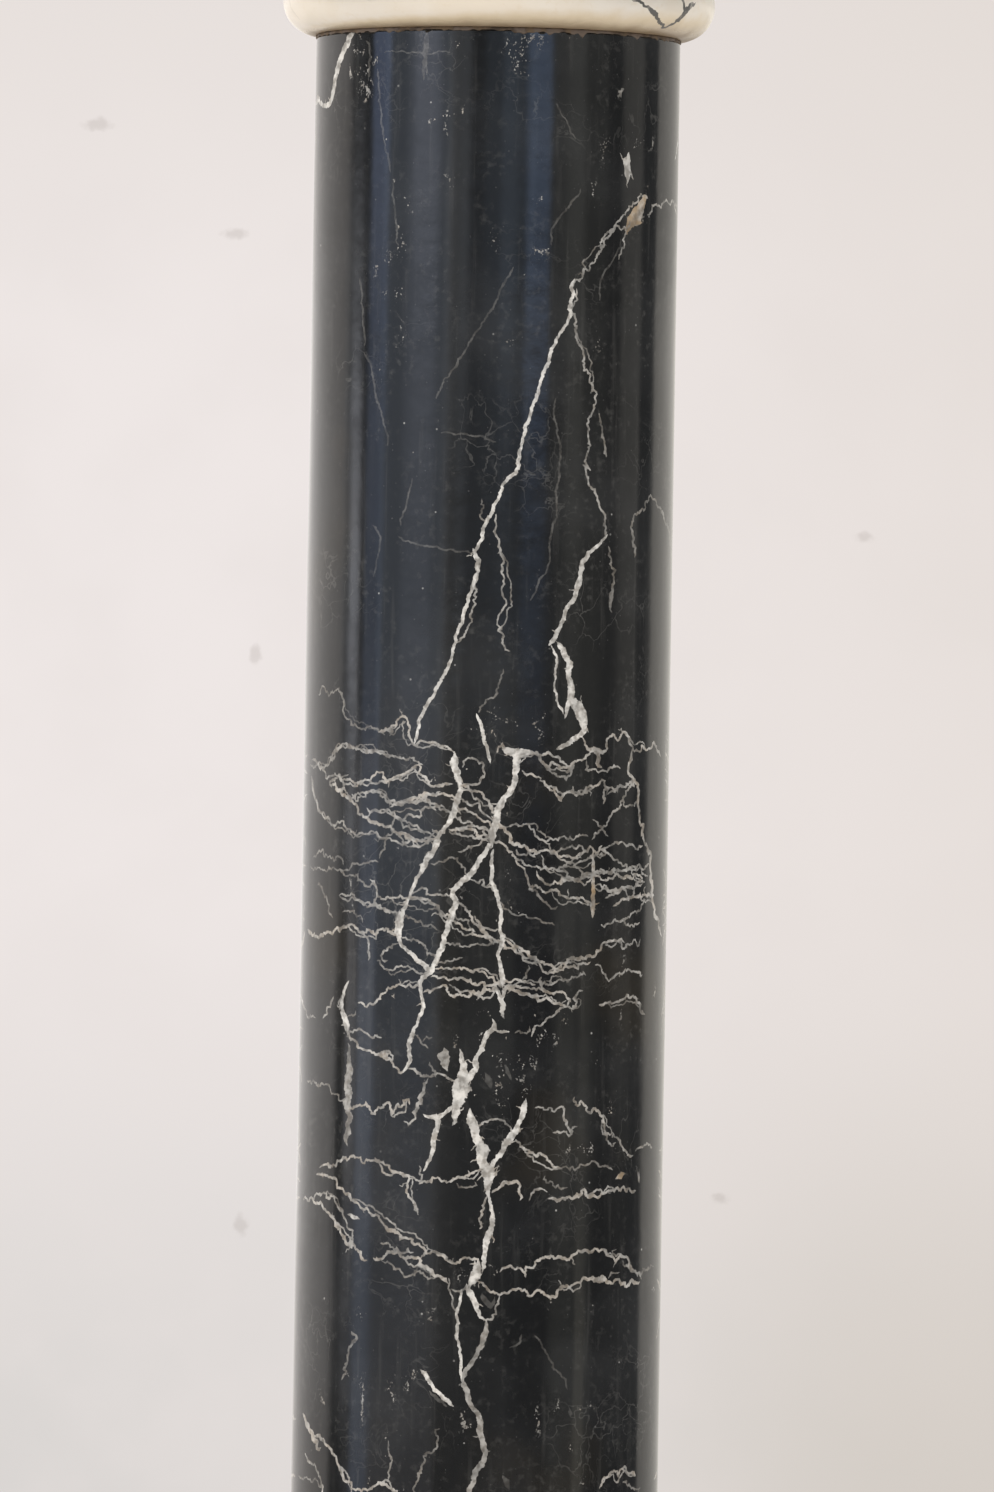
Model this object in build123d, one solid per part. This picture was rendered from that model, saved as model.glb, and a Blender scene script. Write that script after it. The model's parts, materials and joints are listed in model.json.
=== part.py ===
"""A marble column built from five turned and sawn stones, two iron dowels and four thin resin beds.

The stones stand on each other, from the floor up: a square black plinth, an ivory base ring, the black
shaft, an ivory collar ring and a square black cap slab. Both rings are slabs whose whole edge is turned
to a half round, so that their flat faces are exactly as wide as the shaft end that they meet.
A thin bed of brown resin lies in each joint, set back from the edge, and an iron dowel runs through
each ring from the shaft into the square slab beyond it.

All sizes are in millimetres. The origin is the centre of the plinth's underside, +Z is up, and the
plinth's front face looks along -Y.
"""

from build123d import *
import os

# The shaft, and how much less it measures across its head than across its foot
SHAFT_LENGTH = 850.0
SHAFT_FOOT_DIAMETER = 162.0
SHAFT_TAPER = 2.0
SHAFT_ARRIS = 0.8

# The two rings
COLLAR_RING_THICKNESS = 30.0
BASE_RING_THICKNESS = 30.0

# The two square slabs
CAP_SIDE = 230.0
CAP_THICKNESS = 32.0
PLINTH_SIDE = 260.0
PLINTH_THICKNESS = 50.0
SLAB_ARRIS = 2.5
SLAB_CORNER_RADIUS = 3.0

# The resin beds
BED_THICKNESS = 1.2
BED_SETBACK = 0.6

# The dowels and the holes drilled for them
DOWEL_DIAMETER = 16.0
DOWEL_RADIAL_CLEARANCE = 0.3
DOWEL_END_CLEARANCE = 0.5
DOWEL_POINT = 1.5
SHAFT_HOLE_DEPTH = 60.0
PLINTH_HOLE_DEPTH = 32.0
CAP_HOLE_DEPTH = 18.0

# Radii that follow from the sizes above
FOOT_RADIUS = SHAFT_FOOT_DIAMETER / 2
HEAD_RADIUS = (SHAFT_FOOT_DIAMETER - SHAFT_TAPER) / 2
HOLE_RADIUS = DOWEL_DIAMETER / 2 + DOWEL_RADIAL_CLEARANCE

# Heights of the joints, from the floor up
PLINTH_TOP = PLINTH_THICKNESS
BASE_RING_BOTTOM = PLINTH_TOP + BED_THICKNESS
BASE_RING_TOP = BASE_RING_BOTTOM + BASE_RING_THICKNESS
SHAFT_BOTTOM = BASE_RING_TOP + BED_THICKNESS
SHAFT_TOP = SHAFT_BOTTOM + SHAFT_LENGTH
COLLAR_RING_BOTTOM = SHAFT_TOP + BED_THICKNESS
COLLAR_RING_TOP = COLLAR_RING_BOTTOM + COLLAR_RING_THICKNESS
CAP_BOTTOM = COLLAR_RING_TOP + BED_THICKNESS


def drilled_hole(bottom, depth):
    """The round hole for a dowel, from one height up."""
    return Pos(0, 0, bottom) * extrude(Circle(HOLE_RADIUS), depth)


def make_shaft():
    """The tapered shaft with eased arrises and a blind dowel hole in each end."""
    outline = Polyline(
        (0, SHAFT_BOTTOM),
        (FOOT_RADIUS - SHAFT_ARRIS, SHAFT_BOTTOM),
        (FOOT_RADIUS, SHAFT_BOTTOM + SHAFT_ARRIS),
        (HEAD_RADIUS, SHAFT_TOP - SHAFT_ARRIS),
        (HEAD_RADIUS - SHAFT_ARRIS, SHAFT_TOP),
        (0, SHAFT_TOP),
        close=True,
    )
    turned = revolve(Plane.XZ * make_face(outline), Axis.Z)
    foot_hole = drilled_hole(SHAFT_BOTTOM, SHAFT_HOLE_DEPTH)
    head_hole = drilled_hole(SHAFT_TOP - SHAFT_HOLE_DEPTH, SHAFT_HOLE_DEPTH)
    return turned - foot_hole - head_hole


def make_ring(flat_radius, bottom, thickness):
    """A ring slab whose edge is one half round, with flat faces as wide as the shaft end that they meet."""
    nose_radius = thickness / 2
    middle = bottom + nose_radius
    top = bottom + thickness
    nose = ThreePointArc(
        (flat_radius, bottom),
        (flat_radius + nose_radius, middle),
        (flat_radius, top),
    )
    sides = Polyline(
        (flat_radius, top),
        (HOLE_RADIUS, top),
        (HOLE_RADIUS, bottom),
        (flat_radius, bottom),
    )
    return revolve(Plane.XZ * make_face([nose, sides]), Axis.Z)


def make_slab(side, thickness, bottom):
    """A sawn square slab with rounded upright corners and eased edges above and below."""
    block = Pos(0, 0, bottom) * extrude(RectangleRounded(side, side, SLAB_CORNER_RADIUS), thickness)
    flat_faces = block.faces().sort_by(Axis.Z)
    rims = flat_faces[0].edges() + flat_faces[-1].edges()
    return chamfer(rims, SLAB_ARRIS)


def make_plinth():
    """The square foot slab with the base dowel's blind hole in its top."""
    slab = make_slab(PLINTH_SIDE, PLINTH_THICKNESS, 0)
    return slab - drilled_hole(PLINTH_TOP - PLINTH_HOLE_DEPTH, PLINTH_HOLE_DEPTH)


def make_cap_slab():
    """The square top slab with the cap dowel's blind hole in its underside."""
    slab = make_slab(CAP_SIDE, CAP_THICKNESS, CAP_BOTTOM)
    return slab - drilled_hole(CAP_BOTTOM, CAP_HOLE_DEPTH)


def make_bed(stone_radius, bottom):
    """A thin round bed of resin around the dowel, set back from the edge of the stone."""
    disc = Circle(stone_radius - BED_SETBACK) - Circle(HOLE_RADIUS)
    return Pos(0, 0, bottom) * extrude(disc, BED_THICKNESS)


def make_dowel(bottom, top):
    """A round iron dowel with both ends pointed a little, standing on the floor of its lower hole."""
    length = top - bottom - DOWEL_END_CLEARANCE
    rod = Pos(0, 0, bottom) * extrude(Circle(DOWEL_DIAMETER / 2), length)
    return chamfer(rod.edges().filter_by(GeomType.CIRCLE), DOWEL_POINT)


def make_pieces():
    """Every stone, bed and dowel of the column, by name, from the floor up."""
    return {
        "plinth": make_plinth(),
        "plinth_bed": make_bed(FOOT_RADIUS, PLINTH_TOP),
        "base_ring": make_ring(FOOT_RADIUS, BASE_RING_BOTTOM, BASE_RING_THICKNESS),
        "foot_bed": make_bed(FOOT_RADIUS - SHAFT_ARRIS, BASE_RING_TOP),
        "base_dowel": make_dowel(PLINTH_TOP - PLINTH_HOLE_DEPTH, SHAFT_BOTTOM + SHAFT_HOLE_DEPTH),
        "shaft": make_shaft(),
        "collar_bed": make_bed(HEAD_RADIUS - SHAFT_ARRIS, SHAFT_TOP),
        "collar_ring": make_ring(HEAD_RADIUS, COLLAR_RING_BOTTOM, COLLAR_RING_THICKNESS),
        "cap_bed": make_bed(HEAD_RADIUS, COLLAR_RING_TOP),
        "cap_dowel": make_dowel(SHAFT_TOP - SHAFT_HOLE_DEPTH, CAP_BOTTOM + CAP_HOLE_DEPTH),
        "cap_slab": make_cap_slab(),
    }


os.makedirs("parts", exist_ok=True)
for name, piece in make_pieces().items():
    export_step(piece, f"parts/{name}.step")
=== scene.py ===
"""Looks of a marble column: a black veined shaft between two ivory rings, on a plinth and under a cap slab.

Everything is in metres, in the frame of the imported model: +Z is up and the front looks along -Y.
Places that were read off the photograph are in its own frame of 994 by 1492 pixels and go through PhotoFrame.
The veins of a turned stone are drawn on its skin laid flat, which is then rolled up on the stone's profile.
"""

import json
import logging
import math
import random
from dataclasses import dataclass
from enum import Enum

import bpy
import numpy as np
from mathutils import Matrix
from mathutils import Vector
from mathutils.geometry import delaunay_2d_cdt
from mathutils.kdtree import KDTree

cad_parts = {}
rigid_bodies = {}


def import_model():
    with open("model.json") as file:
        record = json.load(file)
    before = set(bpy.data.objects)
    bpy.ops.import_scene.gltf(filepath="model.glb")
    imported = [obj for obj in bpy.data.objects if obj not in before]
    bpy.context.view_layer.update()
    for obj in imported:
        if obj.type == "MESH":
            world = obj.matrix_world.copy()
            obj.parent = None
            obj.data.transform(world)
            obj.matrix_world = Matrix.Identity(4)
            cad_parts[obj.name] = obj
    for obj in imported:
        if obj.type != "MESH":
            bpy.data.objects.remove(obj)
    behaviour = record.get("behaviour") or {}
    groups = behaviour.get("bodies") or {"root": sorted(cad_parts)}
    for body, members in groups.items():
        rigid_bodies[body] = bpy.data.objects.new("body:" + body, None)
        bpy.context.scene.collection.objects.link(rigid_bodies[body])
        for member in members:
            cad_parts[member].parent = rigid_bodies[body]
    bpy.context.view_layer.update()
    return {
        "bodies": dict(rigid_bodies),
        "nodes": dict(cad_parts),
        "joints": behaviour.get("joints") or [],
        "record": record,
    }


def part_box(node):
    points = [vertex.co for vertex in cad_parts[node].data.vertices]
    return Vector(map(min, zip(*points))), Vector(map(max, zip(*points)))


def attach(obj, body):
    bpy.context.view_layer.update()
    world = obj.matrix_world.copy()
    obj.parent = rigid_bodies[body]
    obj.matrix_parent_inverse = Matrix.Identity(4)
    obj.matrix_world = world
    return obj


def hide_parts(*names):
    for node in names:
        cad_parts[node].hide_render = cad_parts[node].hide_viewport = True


LOG = logging.getLogger("marble_column")
MM = 0.001
NEARER_TRIES = 12

Point = tuple[float, float]
Colour = tuple[float, float, float]
Piece = bpy.types.Object


class Tone(Enum):
    """How strong and how warm a vein is: strength and warmth, each from 0 to 1."""

    WHITE = (0.95, 0.12)
    CREAM = (0.66, 0.35)
    GREY = (0.52, 0.2)
    DIM = (0.32, 0.3)
    FAINT = (0.12, 0.2)
    TAN = (0.72, 0.9)
    RUST = (0.75, 1.0)
    SLATE = (0.9, 0.0)


WEAKER = {Tone.WHITE: Tone.CREAM, Tone.CREAM: Tone.GREY, Tone.GREY: Tone.DIM, Tone.DIM: Tone.FAINT}


@dataclass(frozen=True)
class PhotoFrame:
    """How the photograph shows the shaft, so that a pixel can be set on its skin."""

    axis_at_top: float = 499.35
    axis_lean: float = 0.0170
    level_lean: float = 0.0160
    middle_row: float = 746.0
    eye_row: float = 640.0
    focal_pixels: float = 9500.0
    eye_distance: float = 4.182
    eye_height: float = 0.669
    half_width: float = 180.0
    half_width_slope: float = 0.9
    half_width_curve: float = 2.75

    def angle(self, x: float, y: float, half_width: float = 0.0) -> float:
        """Angle round the axis at a pixel.

        Args:
            x: Pixel column.
            y: Pixel row.
            half_width: Half width in pixels of the stone there, or 0 for the shaft.

        Returns:
            The angle in radians, 0 at the front and growing to the right.
        """
        along = (y - self.middle_row) / self.middle_row
        shaft = self.half_width + self.half_width_slope * along + self.half_width_curve * along * along
        half = half_width or shaft
        offset = (x - self.axis_at_top + self.axis_lean * y) / half
        angle = 0.0
        for _ in range(3):
            nearer = 1 - half / self.focal_pixels * math.cos(angle)
            angle = math.asin(max(-0.995, min(0.995, offset * nearer)))
        return angle

    def height(self, x: float, y: float, angle: float, radius: float) -> float:
        """Height on a stone at a pixel.

        Args:
            x: Pixel column.
            y: Pixel row.
            angle: Angle round the axis there.
            radius: Radius of the stone there.

        Returns:
            The height above the floor.
        """
        level = y - self.level_lean * (x - self.axis_at_top + self.axis_lean * y)
        depth = self.eye_distance - radius * math.cos(angle)
        return self.eye_height + depth * (self.eye_row - level) / self.focal_pixels


PHOTO = PhotoFrame()

# Veins of the shaft as the photograph shows them: tone, width in pixels, and lines of pixels.
# A point may carry a width of its own as a third number. The trunks are the wide ones.
TRUNKS = ((Tone.WHITE, 3.8, (
    ((573, 281), (571, 299), (568, 319), (555, 343), (549, 357), (542, 374), (538, 393), (531, 411),
     (524, 434), (519, 451), (516, 470), (505, 482), (500, 495), (493, 510), (485, 525), (480, 542),
     (474, 553)),
    ((474, 551, 7), (479, 560, 5), (477, 574), (470, 594), (464, 613), (458, 632), (452, 659), (443, 678),
     (436, 690), (428, 705), (421, 718), (418, 732), (416, 742)),
    ((605, 536, 3), (596, 546), (587, 553, 5), (581, 562, 5), (579, 577, 5), (576, 587, 7), (573, 599, 5),
     (565, 609, 5), (561, 622, 5), (555, 635, 5), (549, 644, 5)),
    ((551, 647, 3), (556, 659, 3), (554, 674, 3), (554, 691, 3), (557, 704, 3), (562, 713, 3)),
    ((557, 643, 5), (564, 656, 7), (569, 666, 7), (567, 676, 6), (570, 690, 8), (567, 704, 6),
     (564, 717, 4)),
    ((570, 698, 8), (577, 708, 14), (582, 718, 10), (583, 728, 6), (577, 736, 5), (564, 745, 5),
     (556, 749, 4)),
    ((477, 715), (481, 724), (484, 741), (488, 753), (490, 762)),
    ((352, 35, 10), (348, 45, 7), (343, 54, 5.5), (339, 64, 5), (336, 78, 5), (334, 92, 5), (331, 103, 5),
     (326, 106, 4.5), (317, 103, 4)),
    ((455, 755, 6), (454, 764, 10), (458, 778, 7), (461, 788, 5), (458, 799, 7), (455, 811, 7),
     (451, 821, 6), (440, 834, 6), (437, 843, 8), (433, 853, 6), (426, 864, 7), (420, 875, 4),
     (416, 883, 3.5), (411, 895, 3.5), (404, 910, 4.5), (400, 920, 9), (399, 932, 9), (400, 940, 4),
     (408, 951, 4), (418, 961, 5), (431, 970, 6)),
    ((502, 746, 4), (506, 751, 7), (514, 754, 10), (524, 753, 8), (534, 753, 4)),
    ((516, 755, 10), (516, 768, 8), (515, 778, 7), (511, 789, 7), (504, 798, 6), (499, 807, 8),
     (497, 820, 8), (493, 830, 9), (492, 842, 10)),
    ((491, 844, 5), (480, 858, 6), (475, 868, 6), (461, 883, 6), (454, 890, 6), (453, 896, 7), (456, 905, 7),
     (449, 922, 6), (447, 932, 6), (444, 943, 6), (438, 958, 6), (432, 972, 6), (423, 978, 5), (422, 996, 4),
     (424, 1005, 4), (422, 1014), (416, 1027), (413, 1035, 6), (410, 1048, 5), (411, 1062), (404, 1072)),
    ((493, 850), (491, 862), (493, 885, 4.5), (498, 898, 5), (500, 908), (500, 932), (502, 941, 6),
     (499, 950), (499, 960), (501, 970, 5), (502, 984, 9)),
    ((496, 988, 4), (499, 996, 4), (502, 1010, 6), (503, 1017, 4)),
    ((505, 988, 5), (503, 996, 4), (501, 1003, 4)),
    ((460, 1050, 4), (462, 1062, 6), (463, 1074, 12), (462, 1086, 17), (459, 1100, 15), (457, 1110, 8),
     (455, 1118, 6), (453, 1125, 4)),
    ((493, 1021, 4), (494, 1028, 6), (486, 1037, 6), (482, 1047, 6), (477, 1056, 4), (475, 1063, 7),
     (476, 1070, 6), (470, 1078, 7), (467, 1084, 6)),
    ((494, 1030, 4), (500, 1032, 4), (508, 1032, 3)),
    ((455, 1105, 5), (450, 1109, 5), (445, 1114), (440, 1117, 6), (434, 1117, 6), (428, 1117), (424, 1115)),
    ((437, 1117, 6), (438, 1127, 5), (435, 1135, 7), (434, 1148, 5), (430, 1160, 4), (424, 1171, 3)),
    ((470, 1112, 8), (473, 1124, 11), (475, 1135, 9), (479, 1143, 10), (484, 1151, 15), (481, 1160, 11),
     (485, 1168, 12), (489, 1178, 18)),
    ((525, 1101, 5), (523, 1112, 7), (519, 1122, 6), (515, 1132, 8), (507, 1142, 10), (503, 1150, 6),
     (497, 1157, 5), (492, 1165, 5), (490, 1175, 8)),
    ((489, 1176, 16), (487, 1187, 7), (488, 1196, 4), (491, 1210, 4), (492, 1222, 7), (488, 1236, 8),
     (485, 1250, 6), (484, 1262, 5), (482, 1272, 3)),
    ((478, 1262, 5), (477, 1270, 10), (474, 1278, 11), (470, 1286, 6)),
    ((467, 1287, 5), (472, 1297, 7), (476, 1305, 7), (479, 1314, 4), (484, 1320, 3)),
    ((461, 1292, 3), (460, 1302, 3), (457, 1311), (457, 1328), (456, 1336), (458, 1342, 3), (460, 1350, 3),
     (461, 1362, 3), (461, 1380, 3)),
    ((421, 1371, 3), (427, 1378, 5), (432, 1386), (438, 1393), (445, 1400, 5), (453, 1407, 3)),
    ((350, 982, 3), (346, 990, 3), (344, 999, 3), (343, 1006), (345, 1015, 6), (348, 1024, 7),
     (349, 1032, 5)),
    ((628, 154, 3), (626, 163, 9), (627, 172, 9), (627, 181, 4)),
    ((349, 1215, 3), (354, 1218, 5), (359, 1219, 4)),
)), (Tone.RUST, 3.6, (((592, 878), (592, 893, 5), (592, 905, 5), (591, 917, 4)),)),
    (Tone.CREAM, 4.4, (
    ((592, 852, 2), (592, 862, 3), (592, 874, 4)),
)), (Tone.GREY, 4.4, (
    ((486, 1322, 4), (486, 1332, 6), (482, 1346, 6), (475, 1358, 5), (469, 1367, 5), (463, 1380, 4)),
    ((462, 1382, 5), (466, 1390, 7), (468, 1400, 7), (472, 1408, 5), (478, 1415, 6), (480, 1425, 7),
     (481, 1437, 7), (483, 1448, 7), (485, 1456, 6), (478, 1468, 7), (473, 1478, 6), (469, 1490, 6),
     (466, 1503, 5)),
)),)

WEB = ((Tone.CREAM, 3.0, (
    ((310, 930), (315, 936), (320, 938, 4), (325, 936, 4), (330, 932), (338, 929), (351, 925), (364, 932),
     (377, 935), (379, 930), (384, 929), (389, 932), (398, 933, 4)),
    ((305, 1200), (311, 1199), (318, 1203), (329, 1213), (335, 1220), (341, 1233), (344, 1239, 4),
     (350, 1245, 4), (356, 1250), (361, 1256, 4), (367, 1261)),
    ((332, 782), (336, 785), (341, 791, 4), (348, 797, 4), (354, 801), (360, 810), (365, 817), (371, 822, 4),
     (382, 825), (395, 832), (407, 839), (420, 841), (437, 839)),
    ((332, 782), (341, 775), (352, 779), (359, 786), (372, 782), (377, 775), (387, 782), (396, 777),
     (407, 774), (415, 767), (420, 765), (422, 775), (430, 782), (440, 785), (452, 784)),
    ((397, 804), (407, 801), (420, 795), (430, 794), (442, 794), (455, 799)),
    ((460, 787), (475, 791), (486, 799), (492, 810), (496, 817)),
    ((457, 807), (470, 812), (485, 822), (491, 827)),
    ((450, 830), (465, 829), (477, 832), (490, 840)),
    ((402, 905), (412, 897), (425, 900), (436, 905), (440, 915), (450, 920), (462, 927), (475, 935),
     (492, 942)),
    ((582, 739), (585, 746), (592, 749, 7), (604, 751), (605, 742), (613, 737), (616, 741), (621, 732),
     (629, 745), (631, 750), (639, 745), (645, 750), (650, 746), (658, 756)),
    ((381, 732), (387, 728), (394, 732), (398, 725), (404, 716), (408, 719), (411, 729), (413, 742),
     (421, 741), (433, 742), (440, 745), (450, 749), (455, 753)),
    ((497, 752), (502, 743), (505, 749), (514, 751), (520, 755), (530, 754), (536, 752), (550, 755)),
    ((522, 771), (532, 774), (540, 778), (544, 784), (549, 790), (555, 794), (560, 801), (566, 792),
     (571, 792), (575, 796), (581, 794), (591, 788), (598, 783), (603, 781), (605, 787), (602, 803)),
    ((497, 822, 4), (505, 832, 4), (510, 840, 4), (521, 847, 4), (530, 851, 4), (540, 851), (550, 854),
     (560, 857), (570, 858), (580, 854), (592, 851), (600, 846)),
    ((536, 872), (538, 878), (543, 882), (552, 884), (560, 884), (566, 880), (580, 882), (590, 879),
     (606, 880), (612, 877), (622, 879), (640, 878)),
    ((536, 755), (542, 762), (546, 766), (556, 765), (560, 768), (568, 769), (572, 763), (578, 760),
     (590, 750)),
    ((592, 749, 6), (597, 758, 6), (599, 767, 5)),
    ((491, 841), (501, 843), (507, 850), (515, 857), (521, 867), (527, 878), (529, 889), (540, 889),
     (550, 890), (558, 895), (566, 898), (575, 898), (583, 900), (593, 909)),
    ((630, 750), (628, 762), (626, 770), (631, 778), (636, 789), (636, 799), (638, 824), (641, 838),
     (645, 847), (649, 856), (648, 880), (651, 895)),
    ((475, 917), (480, 924), (487, 934), (502, 943), (510, 948), (516, 953), (522, 958), (530, 963),
     (536, 965)),
    ((505, 940), (513, 946), (521, 949, 4), (528, 952, 4), (535, 957), (540, 962), (546, 964), (550, 965),
     (554, 969), (560, 967), (566, 962), (572, 958, 5), (580, 957, 4), (588, 956, 4), (595, 950), (600, 945),
     (611, 941), (622, 942)),
    ((538, 963), (541, 969), (545, 973), (552, 973), (560, 970), (566, 967, 4), (580, 964), (588, 963)),
    ((459, 903), (466, 910), (470, 916), (474, 924), (481, 931), (486, 938), (491, 942)),
    ((437, 969), (447, 968), (457, 969), (466, 969), (475, 970), (484, 972), (488, 978), (502, 984)),
    ((432, 977), (444, 977), (455, 978), (465, 980), (475, 983), (485, 986), (502, 987)),
    ((425, 992), (430, 993), (436, 989), (441, 987), (447, 991), (455, 997, 4), (462, 996), (475, 994, 4),
     (482, 994, 4), (490, 991, 4), (497, 989, 4)),
    ((502, 985), (510, 983), (517, 980), (524, 981), (530, 983), (534, 985)),
    ((504, 986), (518, 987), (528, 988), (538, 988), (548, 993), (553, 995), (556, 992), (562, 992),
     (565, 996), (569, 1001)),
    ((507, 988), (515, 991, 4), (525, 994, 4), (535, 996, 4), (543, 999), (551, 1002), (560, 1005),
     (566, 1007)),
    ((360, 1003), (366, 1007), (373, 1005), (378, 1001), (388, 990), (394, 987), (402, 985), (410, 984),
     (417, 985), (422, 990)),
    ((348, 1032), (352, 1040), (358, 1043), (366, 1050), (373, 1053), (380, 1054), (387, 1055, 8),
     (391, 1059), (393, 1063), (398, 1069), (403, 1072)),
    ((348, 1110), (355, 1107), (367, 1102), (368, 1107), (372, 1114), (378, 1110), (390, 1103), (391, 1109),
     (393, 1114), (402, 1108), (404, 1101), (409, 1100), (410, 1104)),
    ((420, 1184), (427, 1183), (433, 1178), (438, 1178), (442, 1182), (447, 1183), (453, 1179), (460, 1178),
     (468, 1176), (474, 1173), (482, 1170)),
    ((321, 1168), (327, 1165), (337, 1167), (338, 1161), (344, 1157), (350, 1159), (356, 1158), (365, 1164),
     (371, 1161), (376, 1161), (382, 1167), (387, 1175), (394, 1174), (398, 1173)),
    ((376, 1159), (384, 1162), (390, 1166), (396, 1172), (404, 1177), (410, 1179), (408, 1186), (407, 1190),
     (411, 1199), (418, 1214)),
    ((318, 1175), (325, 1175), (332, 1178), (338, 1182), (347, 1195), (352, 1201), (357, 1203), (363, 1209),
     (370, 1213), (376, 1215), (386, 1227), (393, 1231, 5), (399, 1234), (413, 1240), (425, 1250),
     (437, 1255), (444, 1257), (454, 1264), (467, 1259), (474, 1259), (479, 1263)),
    ((374, 1259), (386, 1256), (392, 1252), (400, 1254), (408, 1257), (421, 1261, 4), (427, 1267, 4),
     (432, 1271, 4), (437, 1276, 4), (447, 1283, 4)),
    ((516, 1141), (520, 1147), (526, 1150), (532, 1153), (537, 1157), (545, 1157), (549, 1162), (552, 1167),
     (560, 1169)),
    ((573, 1098), (580, 1101), (583, 1106), (586, 1112), (597, 1110), (600, 1116), (601, 1122), (603, 1128),
     (610, 1134)),
    ((492, 1193), (499, 1188), (503, 1183, 5), (508, 1184, 4), (514, 1182, 4), (518, 1183), (520, 1200)),
    ((548, 1199), (556, 1202, 4), (561, 1199, 4), (573, 1198, 4), (580, 1195, 4), (583, 1189),
     (586, 1196, 4), (593, 1196, 4), (600, 1194), (607, 1191), (613, 1192), (627, 1189), (634, 1191)),
    ((500, 1272), (505, 1268), (510, 1266), (515, 1270), (520, 1269), (525, 1276), (529, 1268), (535, 1265),
     (540, 1259), (553, 1259, 4), (562, 1259, 4), (570, 1258), (576, 1254), (590, 1253, 4), (598, 1252),
     (612, 1257), (615, 1262, 4), (620, 1257), (625, 1257), (632, 1270)),
    ((481, 1283), (486, 1288), (493, 1292), (508, 1294), (512, 1290), (518, 1289), (535, 1292), (543, 1293),
     (546, 1296), (550, 1299, 4), (556, 1297, 4), (558, 1290), (571, 1286), (578, 1283), (582, 1278),
     (592, 1278, 5), (600, 1280, 9), (606, 1283, 4), (612, 1284), (616, 1280), (622, 1284, 4),
     (638, 1283, 4)),
    ((350, 1490), (357, 1490), (365, 1490), (372, 1488), (377, 1485), (383, 1485, 5), (388, 1488),
     (396, 1496)),
    ((312, 1433), (320, 1439, 4), (328, 1447), (334, 1456), (338, 1466), (341, 1475, 4), (346, 1483),
     (351, 1490)),
    ((303, 1415), (306, 1425, 4), (311, 1433, 5), (316, 1442, 5), (320, 1449, 3)),
    ((600, 1488), (604, 1478), (609, 1475), (614, 1471), (618, 1477), (621, 1470), (625, 1467), (629, 1474),
     (635, 1476)),
    ((612, 906), (624, 899), (634, 897), (642, 895), (648, 896), (651, 904), (652, 912), (657, 928),
     (659, 936)),
    ((488, 1196, 2), (484, 1204), (481, 1212), (479, 1222), (480, 1229, 2)),
)), (Tone.GREY, 2.6, (
    ((528, 865), (534, 867), (540, 870), (556, 870), (562, 867), (568, 862), (585, 860), (598, 855),
     (604, 853)),
    ((573, 864), (578, 870), (583, 876), (592, 875)),
    ((516, 850), (520, 855), (526, 855), (534, 857), (538, 853)),
    ((515, 857), (522, 861), (528, 866)),
    ((594, 886), (602, 889), (614, 889), (632, 887), (640, 884)),
    ((604, 898), (612, 895), (618, 892), (624, 890), (632, 890)),
    ((592, 873), (600, 872), (606, 872), (615, 871), (632, 874), (637, 879)),
    ((600, 849), (612, 844), (620, 842), (626, 846), (634, 849), (640, 846)),
    ((548, 752), (554, 757), (562, 762), (572, 762)),
    ((606, 794), (610, 791), (620, 786), (632, 786), (624, 791), (621, 798), (622, 806), (637, 806)),
    ((544, 786), (550, 786), (556, 790), (563, 793)),
    ((315, 760), (327, 767), (335, 760), (340, 750), (350, 748), (360, 749), (375, 752), (395, 757)),
    ((340, 790), (357, 796), (370, 792), (382, 792), (387, 799), (397, 804)),
    ((455, 817), (470, 822), (482, 827), (490, 831)),
    ((450, 832), (462, 836), (475, 839), (489, 842)),
    ((392, 807), (400, 805), (412, 801), (425, 801), (440, 807), (450, 812)),
    ((395, 817), (410, 825), (425, 832), (436, 837)),
    ((366, 817), (377, 811), (387, 811), (396, 816), (412, 815), (422, 811), (432, 807), (436, 810)),
    ((472, 880), (485, 887), (492, 890)),
    ((342, 895), (360, 900), (377, 905), (395, 912)),
    ((678, 209), (672, 202), (663, 202), (654, 205), (647, 215)),
    ((628, 230), (619, 229), (610, 233), (603, 243), (598, 254), (590, 264), (582, 275), (573, 285)),
    ((643, 198, 2), (632, 202, 2), (625, 212, 2), (615, 225, 2), (606, 234, 2), (600, 245, 2)),
    ((628, 221, 2), (624, 235, 2), (621, 248, 2), (618, 259, 1.5)),
    ((576, 290), (574, 314), (576, 334), (583, 357), (587, 373), (591, 391), (595, 401), (592, 411),
     (588, 429), (587, 451), (589, 470)),
    ((582, 465), (587, 482), (596, 500), (604, 518), (604, 535), (602, 539)),
    ((496, 515), (497, 537), (500, 552), (504, 563), (504, 584), (504, 607), (498, 631), (502, 639),
     (509, 651)),
    ((480, 562), (478, 575), (476, 604), (472, 622), (464, 637), (459, 642)),
    ((334, 761), (337, 750), (343, 747), (352, 748), (358, 750), (365, 749), (372, 751), (382, 754),
     (395, 757), (407, 760), (421, 764)),
    ((354, 795), (367, 797), (370, 792), (380, 792), (386, 797), (391, 803), (405, 801), (416, 797),
     (440, 792)),
    ((400, 803), (410, 803), (421, 799), (430, 800), (438, 806), (450, 813)),
    ((369, 809), (375, 811), (391, 811), (397, 818), (412, 824), (425, 834)),
    ((314, 778), (317, 797), (320, 807), (332, 820), (341, 823), (348, 828), (356, 834), (364, 833),
     (378, 832), (383, 839), (393, 841), (402, 844), (413, 838)),
    ((395, 829), (410, 835), (415, 839), (425, 840), (440, 834)),
    ((313, 765), (323, 770), (328, 778), (337, 774), (350, 775)),
    ((341, 778), (348, 784), (356, 787), (360, 782), (370, 785), (388, 781)),
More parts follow.
